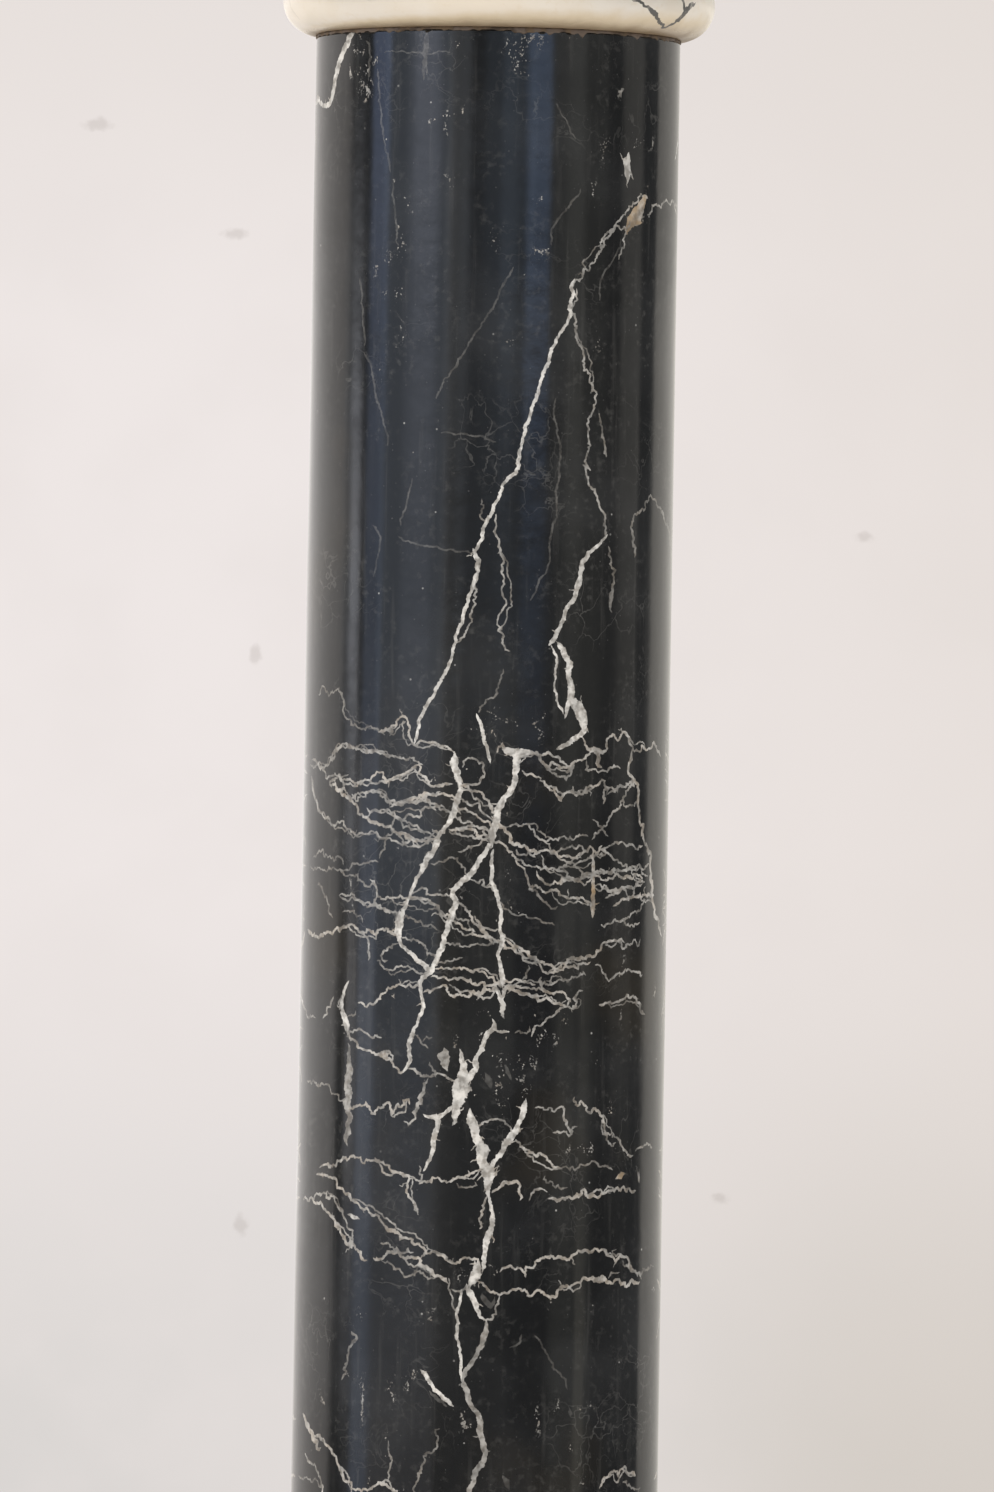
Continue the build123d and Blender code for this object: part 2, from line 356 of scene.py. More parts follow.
    ((463, 767), (468, 758), (477, 760), (484, 765), (484, 777), (478, 784), (466, 784)),
    ((458, 783), (466, 790), (474, 799), (483, 806), (493, 812)),
    ((458, 797), (470, 805), (482, 812), (492, 820)),
    ((457, 828), (468, 826), (480, 829), (491, 836)),
    ((459, 852), (467, 849), (475, 846), (487, 841)),
    ((342, 897), (352, 899), (361, 901), (365, 905), (376, 906)),
    ((372, 880), (377, 886), (378, 893), (378, 905), (388, 912), (397, 919)),
    ((384, 899), (394, 898), (408, 898), (417, 899), (423, 902), (431, 904), (437, 906), (440, 911),
     (452, 918)),
    ((410, 896), (417, 892), (421, 889), (428, 890), (437, 894), (445, 896), (452, 898)),
    ((363, 934), (369, 939), (370, 946), (369, 952), (370, 960)),
    ((398, 944), (390, 947), (385, 951), (382, 956), (388, 961)),
    ((379, 961), (383, 966), (389, 970), (397, 967), (407, 967), (414, 969), (418, 973), (425, 975)),
    ((404, 938), (412, 941), (420, 943), (426, 946), (428, 955), (434, 955, 4), (438, 956)),
    ((446, 943), (455, 946), (463, 947), (471, 945), (480, 945), (490, 944), (500, 942)),
    ((450, 985), (456, 990), (463, 992), (472, 992)),
    ((604, 945), (608, 947), (614, 944), (630, 944), (638, 940)),
    ((594, 965), (600, 971), (604, 977), (611, 978), (618, 973), (626, 969), (634, 972), (640, 975)),
    ((540, 978), (540, 986), (548, 985), (553, 983), (560, 980), (568, 980), (574, 977), (584, 975)),
    ((569, 1000), (566, 1006), (570, 1009), (575, 1007), (576, 1002), (572, 999), (576, 994), (581, 991)),
    ((562, 1008), (558, 1011, 4), (554, 1015), (544, 1022), (538, 1026), (531, 1036)),
    ((598, 1005, 4), (606, 1003), (614, 1002), (620, 1000), (624, 997), (632, 997), (636, 1003),
     (642, 1014)),
    ((600, 925), (609, 924), (618, 922), (625, 918), (633, 911), (643, 900)),
    ((618, 921), (624, 925), (632, 927), (637, 923)),
    ((594, 888), (606, 889), (616, 890), (624, 887), (634, 886), (642, 882)),
    ((546, 770), (555, 774), (565, 780), (570, 774), (572, 765)),
    ((585, 762), (584, 770), (595, 771), (603, 771), (618, 768)),
    ((605, 793), (612, 790), (620, 787), (632, 783)),
    ((622, 798), (618, 808), (609, 816), (602, 826), (599, 830), (591, 839)),
    ((507, 827), (516, 824), (526, 824), (533, 829), (543, 841), (552, 840), (561, 837), (586, 836)),
    ((545, 843), (549, 848), (556, 852), (566, 848), (575, 849), (585, 852)),
    ((600, 850), (606, 853), (612, 860), (629, 867), (646, 864)),
    ((541, 856), (542, 862), (546, 869), (556, 871), (570, 878), (583, 874), (592, 872), (618, 871),
     (645, 876)),
    ((343, 996), (340, 1003), (341, 1009)),
    ((335, 998), (332, 1007), (329, 1014), (325, 1018)),
    ((350, 1029), (354, 1033), (358, 1031), (370, 1036), (382, 1038)),
    ((410, 1069), (418, 1074, 4), (425, 1076, 4), (432, 1077), (440, 1074), (446, 1076), (454, 1081)),
    ((428, 1080), (424, 1090, 4), (420, 1098, 5), (418, 1108, 5), (416, 1119), (409, 1126), (405, 1122)),
    ((480, 1126), (484, 1122), (490, 1120), (497, 1119), (503, 1121), (508, 1126), (511, 1132)),
    ((420, 1167), (420, 1175), (422, 1182), (416, 1180), (410, 1180)),
    ((350, 1045, 3), (350, 1060, 5), (350, 1080, 9), (350, 1097, 9), (349, 1112, 7), (349, 1130, 7),
     (348, 1145, 4)),
    ((535, 1108), (540, 1108), (547, 1110), (555, 1110), (563, 1113), (566, 1122, 4), (569, 1132, 4)),
    ((553, 1133), (560, 1133), (568, 1137), (575, 1127)),
    ((600, 1126), (604, 1133), (605, 1140), (609, 1144), (614, 1143)),
    ((611, 1133), (616, 1138), (620, 1146), (625, 1152), (631, 1156)),
    ((634, 1151), (640, 1147), (645, 1143), (650, 1148)),
    ((529, 1200), (531, 1194), (534, 1190), (546, 1192)),
    ((622, 1262), (627, 1267), (633, 1272), (640, 1279)),
    ((313, 1198), (318, 1194), (325, 1193), (331, 1199), (341, 1211), (346, 1220), (353, 1238), (352, 1246)),
    ((382, 1244, 4), (390, 1245), (397, 1248), (413, 1253)),
    ((421, 1259), (424, 1256), (427, 1251)),
    ((449, 1280), (450, 1292), (452, 1303), (455, 1311)),
    ((499, 1297), (496, 1306), (496, 1315), (492, 1320), (484, 1321)),
    ((452, 1290), (458, 1292), (464, 1290), (470, 1284)),
    ((305, 1455), (311, 1465), (318, 1473), (320, 1480), (322, 1492)),
    ((441, 1060, 8), (446, 1050, 6), (445, 1064, 12), (447, 1070, 6)),
)), (Tone.DIM, 2.4, (
    ((503, 670), (500, 680), (490, 698), (479, 712)),
    ((607, 547), (608, 564), (614, 570), (612, 580), (609, 600, 5), (610, 612)),
    ((633, 556), (629, 527), (633, 514), (641, 509), (650, 498), (656, 507), (666, 527), (669, 560)),
    ((598, 414), (601, 431), (605, 456)),
    ((321, 695), (326, 687), (331, 697), (341, 688), (344, 697), (345, 712), (353, 725), (367, 730),
     (381, 732)),
    ((390, 787), (398, 777), (412, 769), (417, 766)),
    ((396, 818), (393, 826), (388, 839), (381, 858)),
    ((316, 857), (325, 849), (341, 857), (345, 864)),
    ((313, 867), (322, 868), (338, 870), (352, 868), (370, 863), (379, 862)),
    ((342, 870), (350, 876), (359, 881), (369, 887), (377, 886), (384, 900)),
    ((432, 864), (442, 862), (458, 858), (467, 876)),
    ((320, 885), (325, 893), (329, 900), (331, 908), (334, 917)),
    ((345, 912), (356, 911), (364, 922)),
    ((405, 918), (413, 919), (421, 921), (437, 930)),
    ((456, 916), (463, 921), (475, 932)),
    ((437, 965), (447, 961), (462, 958)),
    ((528, 966), (525, 974), (522, 980)),
    ((501, 903), (508, 910), (525, 915), (535, 918), (553, 925)),
    ((529, 890), (536, 895), (543, 902), (556, 907)),
    ((303, 1000), (307, 1010), (317, 1018)),
    ((309, 1081), (318, 1086), (331, 1086), (333, 1094), (348, 1099)),
    ((349, 1017), (353, 1015), (357, 1012)),
    ((416, 1035), (421, 1041), (428, 1048)),
    ((424, 1041), (432, 1038)),
    ((430, 1063), (433, 1071), (436, 1077)),
    ((515, 1033), (523, 1033), (526, 1034), (529, 1027)),
    ((560, 1169), (569, 1171), (578, 1168), (586, 1165), (595, 1163), (604, 1166), (611, 1170)),
    ((457, 1184), (464, 1188), (470, 1187), (475, 1183)),
    ((544, 1177), (548, 1183), (566, 1188)),
    ((383, 1262), (392, 1265), (394, 1270), (405, 1278), (411, 1276), (416, 1272), (428, 1280), (434, 1279)),
    ((608, 1278), (614, 1274), (618, 1273)),
    ((571, 1259), (574, 1265)),
    ((298, 1477), (306, 1478), (314, 1480), (322, 1488)),
    ((388, 1442), (389, 1455), (390, 1468), (388, 1480)),
    ((438, 1430), (437, 1445), (433, 1453), (425, 1461), (418, 1480), (415, 1494)),
    ((623, 1483), (628, 1487), (640, 1489)),
    ((352, 1333, 3), (353, 1342, 3), (348, 1362), (342, 1380)),
    ((638, 1272), (645, 1270), (652, 1267)),
    ((482, 500), (480, 515), (486, 523)),
    ((592, 820), (600, 829), (606, 836)),
)), (Tone.FAINT, 2.6, (
    ((551, 245), (551, 231), (559, 218), (573, 200), (580, 190)),
    ((513, 268), (498, 298), (490, 312), (467, 349), (452, 371), (437, 398)),
    ((366, 354), (373, 369), (376, 391), (385, 425), (389, 445)),
    ((394, 185), (397, 225), (399, 245)),
    ((361, 280), (363, 300), (366, 345)),
    ((442, 433), (465, 434), (480, 436), (495, 442)),
    ((555, 399), (553, 419), (558, 439), (560, 456), (556, 510), (546, 570), (530, 600)),
    ((400, 537), (419, 545), (432, 547), (454, 550), (473, 554)),
    ((375, 526), (382, 538), (381, 550), (375, 576)),
    ((413, 480), (407, 505), (402, 525)),
    ((620, 240), (619, 248), (611, 262), (600, 280), (599, 300)),
    ((378, 70), (380, 92), (382, 118), (386, 150), (391, 172)),
    ((367, 42), (370, 48), (371, 58), (370, 68), (369, 80)),
    ((426, 60), (427, 74)),
    ((557, 105, 1.6), (567, 123, 1.6), (575, 139, 1.2)),
    ((427, 36, 9), (426, 50, 7), (424, 66, 4), (424, 80, 2)),
    ((385, 53, 1.5), (400, 52, 1.5), (420, 53, 1.5), (450, 53, 1.2)),
    ((521, 1336), (520, 1343), (510, 1348)),
    ((535, 1337), (541, 1345), (545, 1352), (552, 1368), (565, 1380), (567, 1390)),
    ((430, 1393, 4), (438, 1401, 5), (446, 1407, 4)),
    ((486, 1075, 8), (490, 1086, 12)),
    ((505, 1066, 6), (510, 1078, 7)),
    ((503, 1478, 8), (508, 1488, 10)),
    ((482, 1296, 8), (490, 1308, 6), (494, 1300, 6)),
)), (Tone.TAN, 5.0, (
    ((646, 198, 4), (640, 206, 11), (635, 214, 15), (630, 223, 11), (626, 233, 4)),
    ((616, 1178, 8), (622, 1174, 8)),
)),)

SPECKS = (
    (548, 249), (535, 250), (524, 275), (507, 342), (597, 342), (399, 248), (381, 370), (364, 53), (458, 46),
    (463, 112), (446, 126), (395, 182), (652, 146), (621, 92), (526, 61), (521, 74), (593, 190), (622, 961),
    (488, 1012), (385, 1457), (550, 1303), (592, 1306), (515, 722), (644, 196), (532, 1239), (619, 1019),
)

# Patches of fine specks in the photograph: middle, how far they scatter to the side and up, and how many
DUST = (
    (366, 66, 6, 24, 16), (516, 52, 6, 12, 15), (545, 40, 18, 5, 5), (440, 118, 16, 6, 6),
    (395, 300, 12, 90, 12), (500, 180, 60, 70, 8), (505, 725, 18, 8, 9), (500, 1085, 20, 16, 20),
    (540, 1035, 40, 12, 8), (560, 1120, 45, 30, 10), (480, 900, 110, 70, 22), (500, 1320, 90, 50, 12),
    (370, 1410, 30, 40, 10), (590, 1440, 40, 30, 8),
)

RING_VEINS = ((Tone.SLATE, 3.2, (
    ((630, -3), (634, 1), (641, 3), (648, 7), (654, 13, 6), (657, 19), (662, 25), (666, 28), (671, 25),
     (676, 21), (682, 17, 5), (686, 12, 5), (690, 6, 5), (695, 4)),
    ((680, -3, 3), (684, 5, 3), (687, 11, 3)),
)), (Tone.FAINT, 2.2, (
    ((290, -2), (291, 8), (295, 14), (300, 20)),
    ((363, -2), (370, 1), (378, 0)),
)),)


def placed(name: str, data: bpy.types.ID) -> Piece:
    """Puts an object that holds a mesh, a lamp or a camera in the scene."""
    piece = bpy.data.objects.new(name, data)
    bpy.context.scene.collection.objects.link(piece)
    return piece


@dataclass
class Strand:
    """One vein on a skin laid flat: its points and half widths in metres, and its tone."""

    line: list[Point]
    half_width: list[float]
    tone: Tone


def roughen(line: list[Point], widths: list[float], step: float, kink: float, rng: random.Random) -> tuple:
    """Breaks a line into short runs that stray to either side, as a crack does.

    Args:
        line: Points of the line.
        widths: Half width at each point.
        step: Longest run that is left whole.
        kink: How far a break strays, as a share of its run.
        rng: Source of the strays.

    Returns:
        The finer line and its half widths.
    """
    points = [(x, y, w) for (x, y), w in zip(line, widths)]
    unbroken = False
    while not unbroken:
        unbroken = True
        finer = [points[0]]
        for start, end in zip(points, points[1:]):
            across = end[0] - start[0]
            up = end[1] - start[1]
            run = math.hypot(across, up)
            if run > step:
                stray = rng.gauss(0.0, kink) * min(1.0, 4 * MM / run)
                width = (start[2] + end[2]) / 2 * rng.uniform(0.82, 1.2)
                u = (start[0] + end[0]) / 2 - up * stray
                finer.append((u, (start[1] + end[1]) / 2 + across * stray, width))
                unbroken = False
            finer.append(end)
        points = finer
    return [(x, y) for x, y, _ in points], [w for _, _, w in points]


class Profile:
    """Outline of a turned stone's skin, from its underside to its top, as corners of radius and height."""

    def __init__(self, corners: list[Point], row_step: float) -> None:
        """Measures the outline and sets the rows of the skin's grid.

        Args:
            corners: Radius and height of each corner, close together on round stretches.
            row_step: Greatest distance between two rows.
        """
        self.radii = np.array([c[0] for c in corners])
        self.heights = np.array([c[1] for c in corners])
        runs = np.hypot(np.diff(self.radii), np.diff(self.heights))
        self.lengths = np.concatenate(([0.0], np.cumsum(runs)))
        self.length = float(self.lengths[-1])
        slopes = np.stack((np.diff(self.heights), -np.diff(self.radii)), axis=1) / runs[:, None]
        padded = np.concatenate((slopes[:1], slopes, slopes[-1:]))
        joined = padded[:-1] + padded[1:]
        self.facing = joined / np.linalg.norm(joined, axis=1)[:, None]
        self.rows: list[float] = []
        for start, end in zip(self.lengths, self.lengths[1:]):
            parts = max(1, math.ceil((end - start) / row_step))
            self.rows += [start + (end - start) * part / parts for part in range(parts)]
        self.rows.append(self.length)

    def at(self, along: np.ndarray) -> tuple[np.ndarray, np.ndarray]:
        """Radius and height at lengths along the outline."""
        return np.interp(along, self.lengths, self.radii), np.interp(along, self.lengths, self.heights)

    def normal(self, along: np.ndarray) -> tuple[np.ndarray, np.ndarray]:
        """Outward and upward parts of the normal at lengths along the outline."""
        out = np.interp(along, self.lengths, self.facing[:, 0])
        up = np.interp(along, self.lengths, self.facing[:, 1])
        size = np.hypot(out, up)
        return out / size, up / size

    def along(self, height: float) -> float:
        """Length along the outline at a height on the stone's side."""
        return float(np.interp(height, self.heights, self.lengths))


def arc(centre: Point, radius: float, start: float, end: float, parts: int) -> list[Point]:
    """Corners along a round stretch of an outline.

    Args:
        centre: Radius and height of its centre.
        radius: Its own radius.
        start: First angle in degrees, 0 pointing outward and 90 upward.
        end: Last angle in degrees.
        parts: How many runs it has.

    Returns:
        The corners from start to end.
    """
    turns = [math.radians(start + (end - start) * part / parts) for part in range(parts + 1)]
    return [(centre[0] + radius * math.cos(turn), centre[1] + radius * math.sin(turn)) for turn in turns]


class Skin:
    """A turned stone's skin laid flat, with veins drawn in, and the stone that it is rolled up into.

    STEP is the longest run of a vein that is left whole, HALO what its mesh has beyond its edge, JOIN the
    distance within which points become one, and RIM the clear strip at either end of the skin. THINNED gives
    the shares of its width that a vein has nearest its ends. A vein whose plain middle is wider than
    FLAT_HALF to either side gets points along it. LEGS are measured at once, and SHIFTS are the turns round
    the skin at which a vein is laid, so that it passes over the seam.
    """

    STEP = 1.5 * MM
    HALO = 0.22 * MM
    JOIN = 0.02 * MM
    RIM = 0.3 * MM
    THINNED = (0.45, 0.8)
    FLAT_HALF = 0.35 * MM
    LEGS = 12
    SHIFTS = (-1, 0, 1)

    def __init__(self, profile: Profile, columns: int, seed: int) -> None:
        """Sets out an empty skin.

        Args:
            profile: Outline of the stone.
            columns: How many columns the skin's grid has.
            seed: Seed of the veins' strays.
        """
        self.profile = profile
        self.columns = columns
        self.girth = 2 * math.pi * float(profile.radii.max())
        self.rng = random.Random(seed)
        self.strands: list[Strand] = []

    def spot(self, angle: float, height: float) -> Point:
        """Place on the flat skin of an angle round the axis and a height."""
        return (angle / (2 * math.pi) + 0.5) * self.girth, self.profile.along(height)

    def fade(self, half: np.ndarray) -> np.ndarray:
        """How far a vein of this half width fades in from its edge."""
        return np.maximum(np.minimum(half, 0.45 * MM + 0.2 * half), 1e-7)

    def draw(self, line: list[Point], widths: list[float], tone: Tone, kink: float = 0.12,
             step: float = STEP) -> None:
        """Draws one vein.

        Args:
            line: Its points on the flat skin.
            widths: Half width at each point.
            tone: How strong and warm it is.
            kink: How far it strays between its points.
            step: Longest run that is left whole.
        """
        fine, half = roughen(line, widths, step, kink, self.rng)
        for place, share in enumerate(self.THINNED[:len(half) // 2]):
            half[place] *= share
            half[-1 - place] *= share
        half = [width + self.HALO for width in half]
        length = sum(math.dist(start, end) for start, end in zip(fine, fine[1:]))
        tips = []
        for end, beside, width in ((fine[0], fine[1], half[0]), (fine[-1], fine[-2], half[-1])):
            reach = min(2.4 * width, 0.4 * length + 0.15 * MM) / max(math.dist(end, beside), 1e-9)
            tips.append((end[0] + (end[0] - beside[0]) * reach, end[1] + (end[1] - beside[1]) * reach))
        self.strands.append(Strand([tips[0], *fine, tips[1]], [0.0, *half, 0.0], tone))

    def fray(self, line: list[Point], widths: list[float], tone: Tone) -> None:
        """Adds short barbs to the wide stretches of a vein.

        Args:
            line: The vein's points on the flat skin.
            widths: The vein's half width at each point.
            tone: How strong and warm the vein is.
        """
        rng = self.rng
        for (u, v), half in zip(line, widths):
            for _ in range(int(half / (1.8 * MM) + 0.6 * rng.random())):
                course = rng.uniform(0, 2 * math.pi)
                reach = half + rng.uniform(0.4, 1.8) * MM
                bend = course + rng.uniform(-0.5, 0.5)
                route = [(u + math.cos(course) * 0.4 * half, v + math.sin(course) * 0.4 * half),
                         (u + math.cos(course) * 0.8 * reach, v + math.sin(course) * 0.8 * reach),
                         (u + math.cos(bend) * 1.3 * reach, v + math.sin(bend) * 1.3 * reach)]
                self.draw(route, [0.4 * MM, 0.25 * MM, 0.1 * MM], WEAKER.get(tone, tone), 0.2)

    def split(self, line: list[Point], widths: list[float], tone: Tone, spread: float) -> None:
        """Draws a thinner strand that leaves a vein and joins it again, and short barbs beside it.

        Args:
            line: The vein's points on the flat skin.
            widths: The vein's half width at each point.
            tone: How strong and warm the strand is.
            spread: How far it keeps off the vein.
        """
        if len(line) < 4:
            return
        rng = self.rng
        first = rng.randrange(len(line) - 3)
        last = rng.randrange(first + 3, len(line))
        stray = rng.choice((-1, 1)) * rng.uniform(0.5, 1.0) * spread
        route = []
        for place in range(first, last + 1):
            before = line[max(place - 1, 0)]
            after = line[min(place + 1, len(line) - 1)]
            run = max(math.hypot(after[0] - before[0], after[1] - before[1]), 1e-6)
            off = stray * math.sin(math.pi * (place - first) / (last - first)) * rng.uniform(0.6, 1.3)
            route.append((line[place][0] - (after[1] - before[1]) / run * off,
                          line[place][1] + (after[0] - before[0]) / run * off))
            if rng.random() < 0.16:
                course = rng.uniform(0, 2 * math.pi)
                reach = rng.uniform(1.2, 4.0) * MM
                tip = (line[place][0] + math.cos(course) * reach, line[place][1] + math.sin(course) * reach)
                self.draw([line[place], tip], [widths[place] * 0.5, widths[place] * 0.25], tone, 0.25)
        self.draw(route, [width * rng.uniform(0.45, 0.75) for width in widths[first:last + 1]], tone, 0.16)

    def _ribbons(self, margin: float) -> tuple[list[Point], list[tuple[int, int]]]:
        """Rails of every vein, as points and the edges that hold them.

        Args:
            margin: How far veins are followed past the seam on either side.

        Returns:
            The points and the pairs of points.
        """
        points: list[Point] = []
        edges: list[tuple[int, int]] = []
        for strand in self.strands:
            line = np.array(strand.line)
            tangent = np.gradient(line, axis=0)
            tangent /= np.maximum(np.linalg.norm(tangent, axis=1), 1e-9)[:, None]
            side = np.stack((-tangent[:, 1], tangent[:, 0]), axis=1)
            half = np.array(strand.half_width)[:, None]
            rails = [line - side * half, line, line + side * half]
            inner = half - self.fade(half)
            if inner.max() > self.FLAT_HALF:
                rails += [line - side * inner, line + side * inner]
            for shift in self.SHIFTS:
                for rail in rails:
                    before = -1
                    for u, v in rail + (shift * self.girth, 0.0):
                        level = self.RIM < v < self.profile.length - self.RIM
                        inside = level and -margin < u < self.girth + margin
                        if inside:
                            points.append((u, v))
                            if before >= 0:
                                edges.append((before, len(points) - 1))
                        before = len(points) - 1 if inside else -1
        return points, edges

    def _marks(self, flat: np.ndarray) -> np.ndarray:
        """How much of a vein each point of the skin holds.

        Args:
            flat: Places of the points on the flat skin.

        Returns:
            For each point: 0 at a vein's edge to 1 inside it, the vein's strength, its warmth, and 0.
        """
        marks = np.zeros((len(flat), 4))
        marks[:, 0] = -1.0
        by_height = np.argsort(flat[:, 1])
        heights = flat[by_height, 1]
        for strand in self.strands:
            line = np.array(strand.line)
            half = np.array(strand.half_width)
            strength, warmth = strand.tone.value
            for shift in self.SHIFTS:
                for first in range(0, len(line) - 1, self.LEGS):
                    run = line[first:first + self.LEGS + 1] + (shift * self.girth, 0.0)
                    widths = half[first:first + self.LEGS + 1]
                    reach = widths.max() * 1.1
                    low = run.min(axis=0) - reach
                    high = run.max(axis=0) + reach
                    level = by_height[slice(*np.searchsorted(heights, (low[1], high[1])))]
                    beside = flat[level, 0]
                    near = level[(beside > low[0]) & (beside < high[0])]
                    if not len(near):
                        continue
                    leg = run[1:] - run[:-1]
                    size = np.maximum((leg * leg).sum(axis=1), 1e-12)
                    gap = flat[near][:, None, :] - run[None, :-1]
                    share = np.clip((gap * leg[None]).sum(axis=2) / size, 0.0, 1.0)
                    away = np.linalg.norm(gap - share[..., None] * leg[None], axis=2)
                    width = widths[:-1] + share * np.diff(widths)
                    inside = (width - away) / self.fade(width)
                    best = inside.max(axis=1)
                    best = np.where(best > -0.05, np.clip(best, 0.0, 1.0), -1.0)
                    better = best > marks[near, 0]
                    marks[near[better], 0] = best[better]
                    marks[near[better], 1] = strength
                    marks[near[better], 2] = warmth
        marks[:, 0] = np.maximum(marks[:, 0], 0.0)
        return marks

    def _flat_mesh(self) -> tuple[np.ndarray, np.ndarray]:
        """Triangles of the flat skin, with the veins' rails as edges."""
        pitch = self.girth / self.columns
        points: list[Point] = []
        edges: list[tuple[int, int]] = []
        wide = self.columns + 5
        for row, v in enumerate(self.profile.rows):
            for column in range(wide):
                points.append(((column - 2) * pitch, v))
                if row and column in (2, self.columns + 2):
                    edges.append(((row - 1) * wide + column, row * wide + column))
        rails, ties = self._ribbons(2 * pitch)
        start = len(points)
        edges += [(a + start, b + start) for a, b in ties]
        made = delaunay_2d_cdt([Vector(p) for p in points + rails], edges, [], 0, 1e-6)
        flat = np.array([tuple(p) for p in made[0]])
        faces = np.array(made[2])
        middle = flat[faces].mean(axis=1)
        faces = faces[(middle[:, 0] > 0) & (middle[:, 0] < self.girth)]
        a, b, c = (flat[faces[:, corner]] for corner in range(3))
        turn = (b[:, 0] - a[:, 0]) * (c[:, 1] - a[:, 1]) - (b[:, 1] - a[:, 1]) * (c[:, 0] - a[:, 0])
        faces[turn < 0] = faces[turn < 0][:, ::-1]
        faces = faces[np.abs(turn) > 1e-12]
        used, faces = np.unique(faces, return_inverse=True)
        return flat[used], faces.reshape(-1, 3)

    def roll(self, name: str, cores: list[list[Point]]) -> Piece:
        """Rolls the skin up into a closed stone.

        Args:
            name: Name of the piece.
            cores: Hidden outlines that close the stone, each from the skin inward or between its rims.

        Returns:
            The piece, with its veins' marks in the attribute "vein".
        """
        flat, faces = self._flat_mesh()
        marks = self._marks(flat)
        turn = (flat[:, 0] / self.girth - 0.5) * 2 * math.pi
        radius, height = self.profile.at(flat[:, 1])
        out, up = self.profile.normal(flat[:, 1])
        place = np.stack((radius * np.sin(turn), -radius * np.cos(turn), height), axis=1)
        facing = np.stack((out * np.sin(turn), -out * np.cos(turn), up), axis=1)
        spread = np.stack((flat[:, 0] / self.girth, 0.06 + 0.93 * flat[:, 1] / self.profile.length), axis=1)
        solid = Solid(place, faces, facing[faces.ravel()], spread[faces.ravel()], marks)
        for index, core in enumerate(cores):
            solid.lathe(core, self.columns, 0.002 + 0.028 * index)
        return solid.piece(name, self.JOIN)


@dataclass
class Solid:
    """Points with their marks, and triangles with a normal and a place on the baked sheet at each corner."""

    place: np.ndarray
    faces: np.ndarray
    facing: np.ndarray
    spread: np.ndarray
    marks: np.ndarray

    def lathe(self, outline: list[Point], columns: int, strip: float) -> None:
        """Turns an outline round the axis and adds it, with its outer side on the right of its direction.

        Args:
            outline: Radius and height of each corner.
            columns: How many columns it has.
            strip: Where its strip of the baked sheet starts.
        """
        turns = (np.arange(columns) / columns - 0.5) * 2 * math.pi
        place = []
        faces = []
        facing = []
        spread = []
        start = len(self.place)
        for row, ((r0, z0), (r1, z1)) in enumerate(zip(outline, outline[1:])):
            size = math.hypot(r1 - r0, z1 - z0)
            out = (z1 - z0) / size
            up = (r0 - r1) / size
            for r, z in ((r0, z0), (r1, z1)):
                place += [(r * math.sin(t), -r * math.cos(t), z) for t in turns]
            for column in range(columns):
                beside = (column + 1) % columns
                low = start + 2 * row * columns
                corners = [low + column, low + beside, low + columns + beside, low + columns + column]
                sheet = [(column, 0), (column + 1, 0), (column + 1, 1), (column, 1)]
                for triple in ([0, 1, 2],) * (r0 > 0) + ([0, 2, 3],) * (r1 > 0):
                    faces.append([corners[k] for k in triple])
                    for k in triple:
                        t = turns[column if k in (0, 3) else beside]
                        facing.append((out * math.sin(t), -out * math.cos(t), up))
                        share = (row + sheet[k][1]) / (len(outline) - 1)
                        spread.append((sheet[k][0] / columns, strip + 0.024 * share))
        self.place = np.concatenate((self.place, np.array(place)))
        self.faces = np.concatenate((self.faces, np.array(faces)))
        self.facing = np.concatenate((self.facing, np.array(facing)))
        self.spread = np.concatenate((self.spread, np.array(spread)))
        self.marks = np.concatenate((self.marks, np.zeros((len(place), 4))))

    def piece(self, name: str, join: float) -> Piece:
        """Makes the Blender object.

        Args:
            name: Its name.
            join: Points nearer to each other than this become one.

        Returns:
            The object.
        """
        tree = KDTree(len(self.place))
        for index, spot in enumerate(self.place):
            tree.insert(spot, index)
        tree.balance()
        first = np.array([min(found[1] for found in tree.find_range(spot, join)) for spot in self.place])
        first = first[first]
        faces = first[self.faces]
        whole = (faces[:, 0] != faces[:, 1]) & (faces[:, 1] != faces[:, 2]) & (faces[:, 2] != faces[:, 0])
        corners = np.repeat(whole, 3)
        used, faces = np.unique(faces[whole], return_inverse=True)
        faces = faces.reshape(-1, 3)
        mesh = bpy.data.meshes.new(name)
        mesh.from_pydata(self.place[used].tolist(), [], faces.tolist())
        sheet = mesh.uv_layers.new(name="OFBake")
        sheet.data.foreach_set("uv", self.spread[corners].astype(np.float32).ravel())
        veins = mesh.attributes.new("vein", "FLOAT_COLOR", "POINT")
        veins.data.foreach_set("color", self.marks[used].astype(np.float32).ravel())
        mesh.polygons.foreach_set("use_smooth", [True] * len(faces))
        mesh.normals_split_custom_set(self.facing[corners].tolist())
        mesh.update()
        return placed(name, mesh)


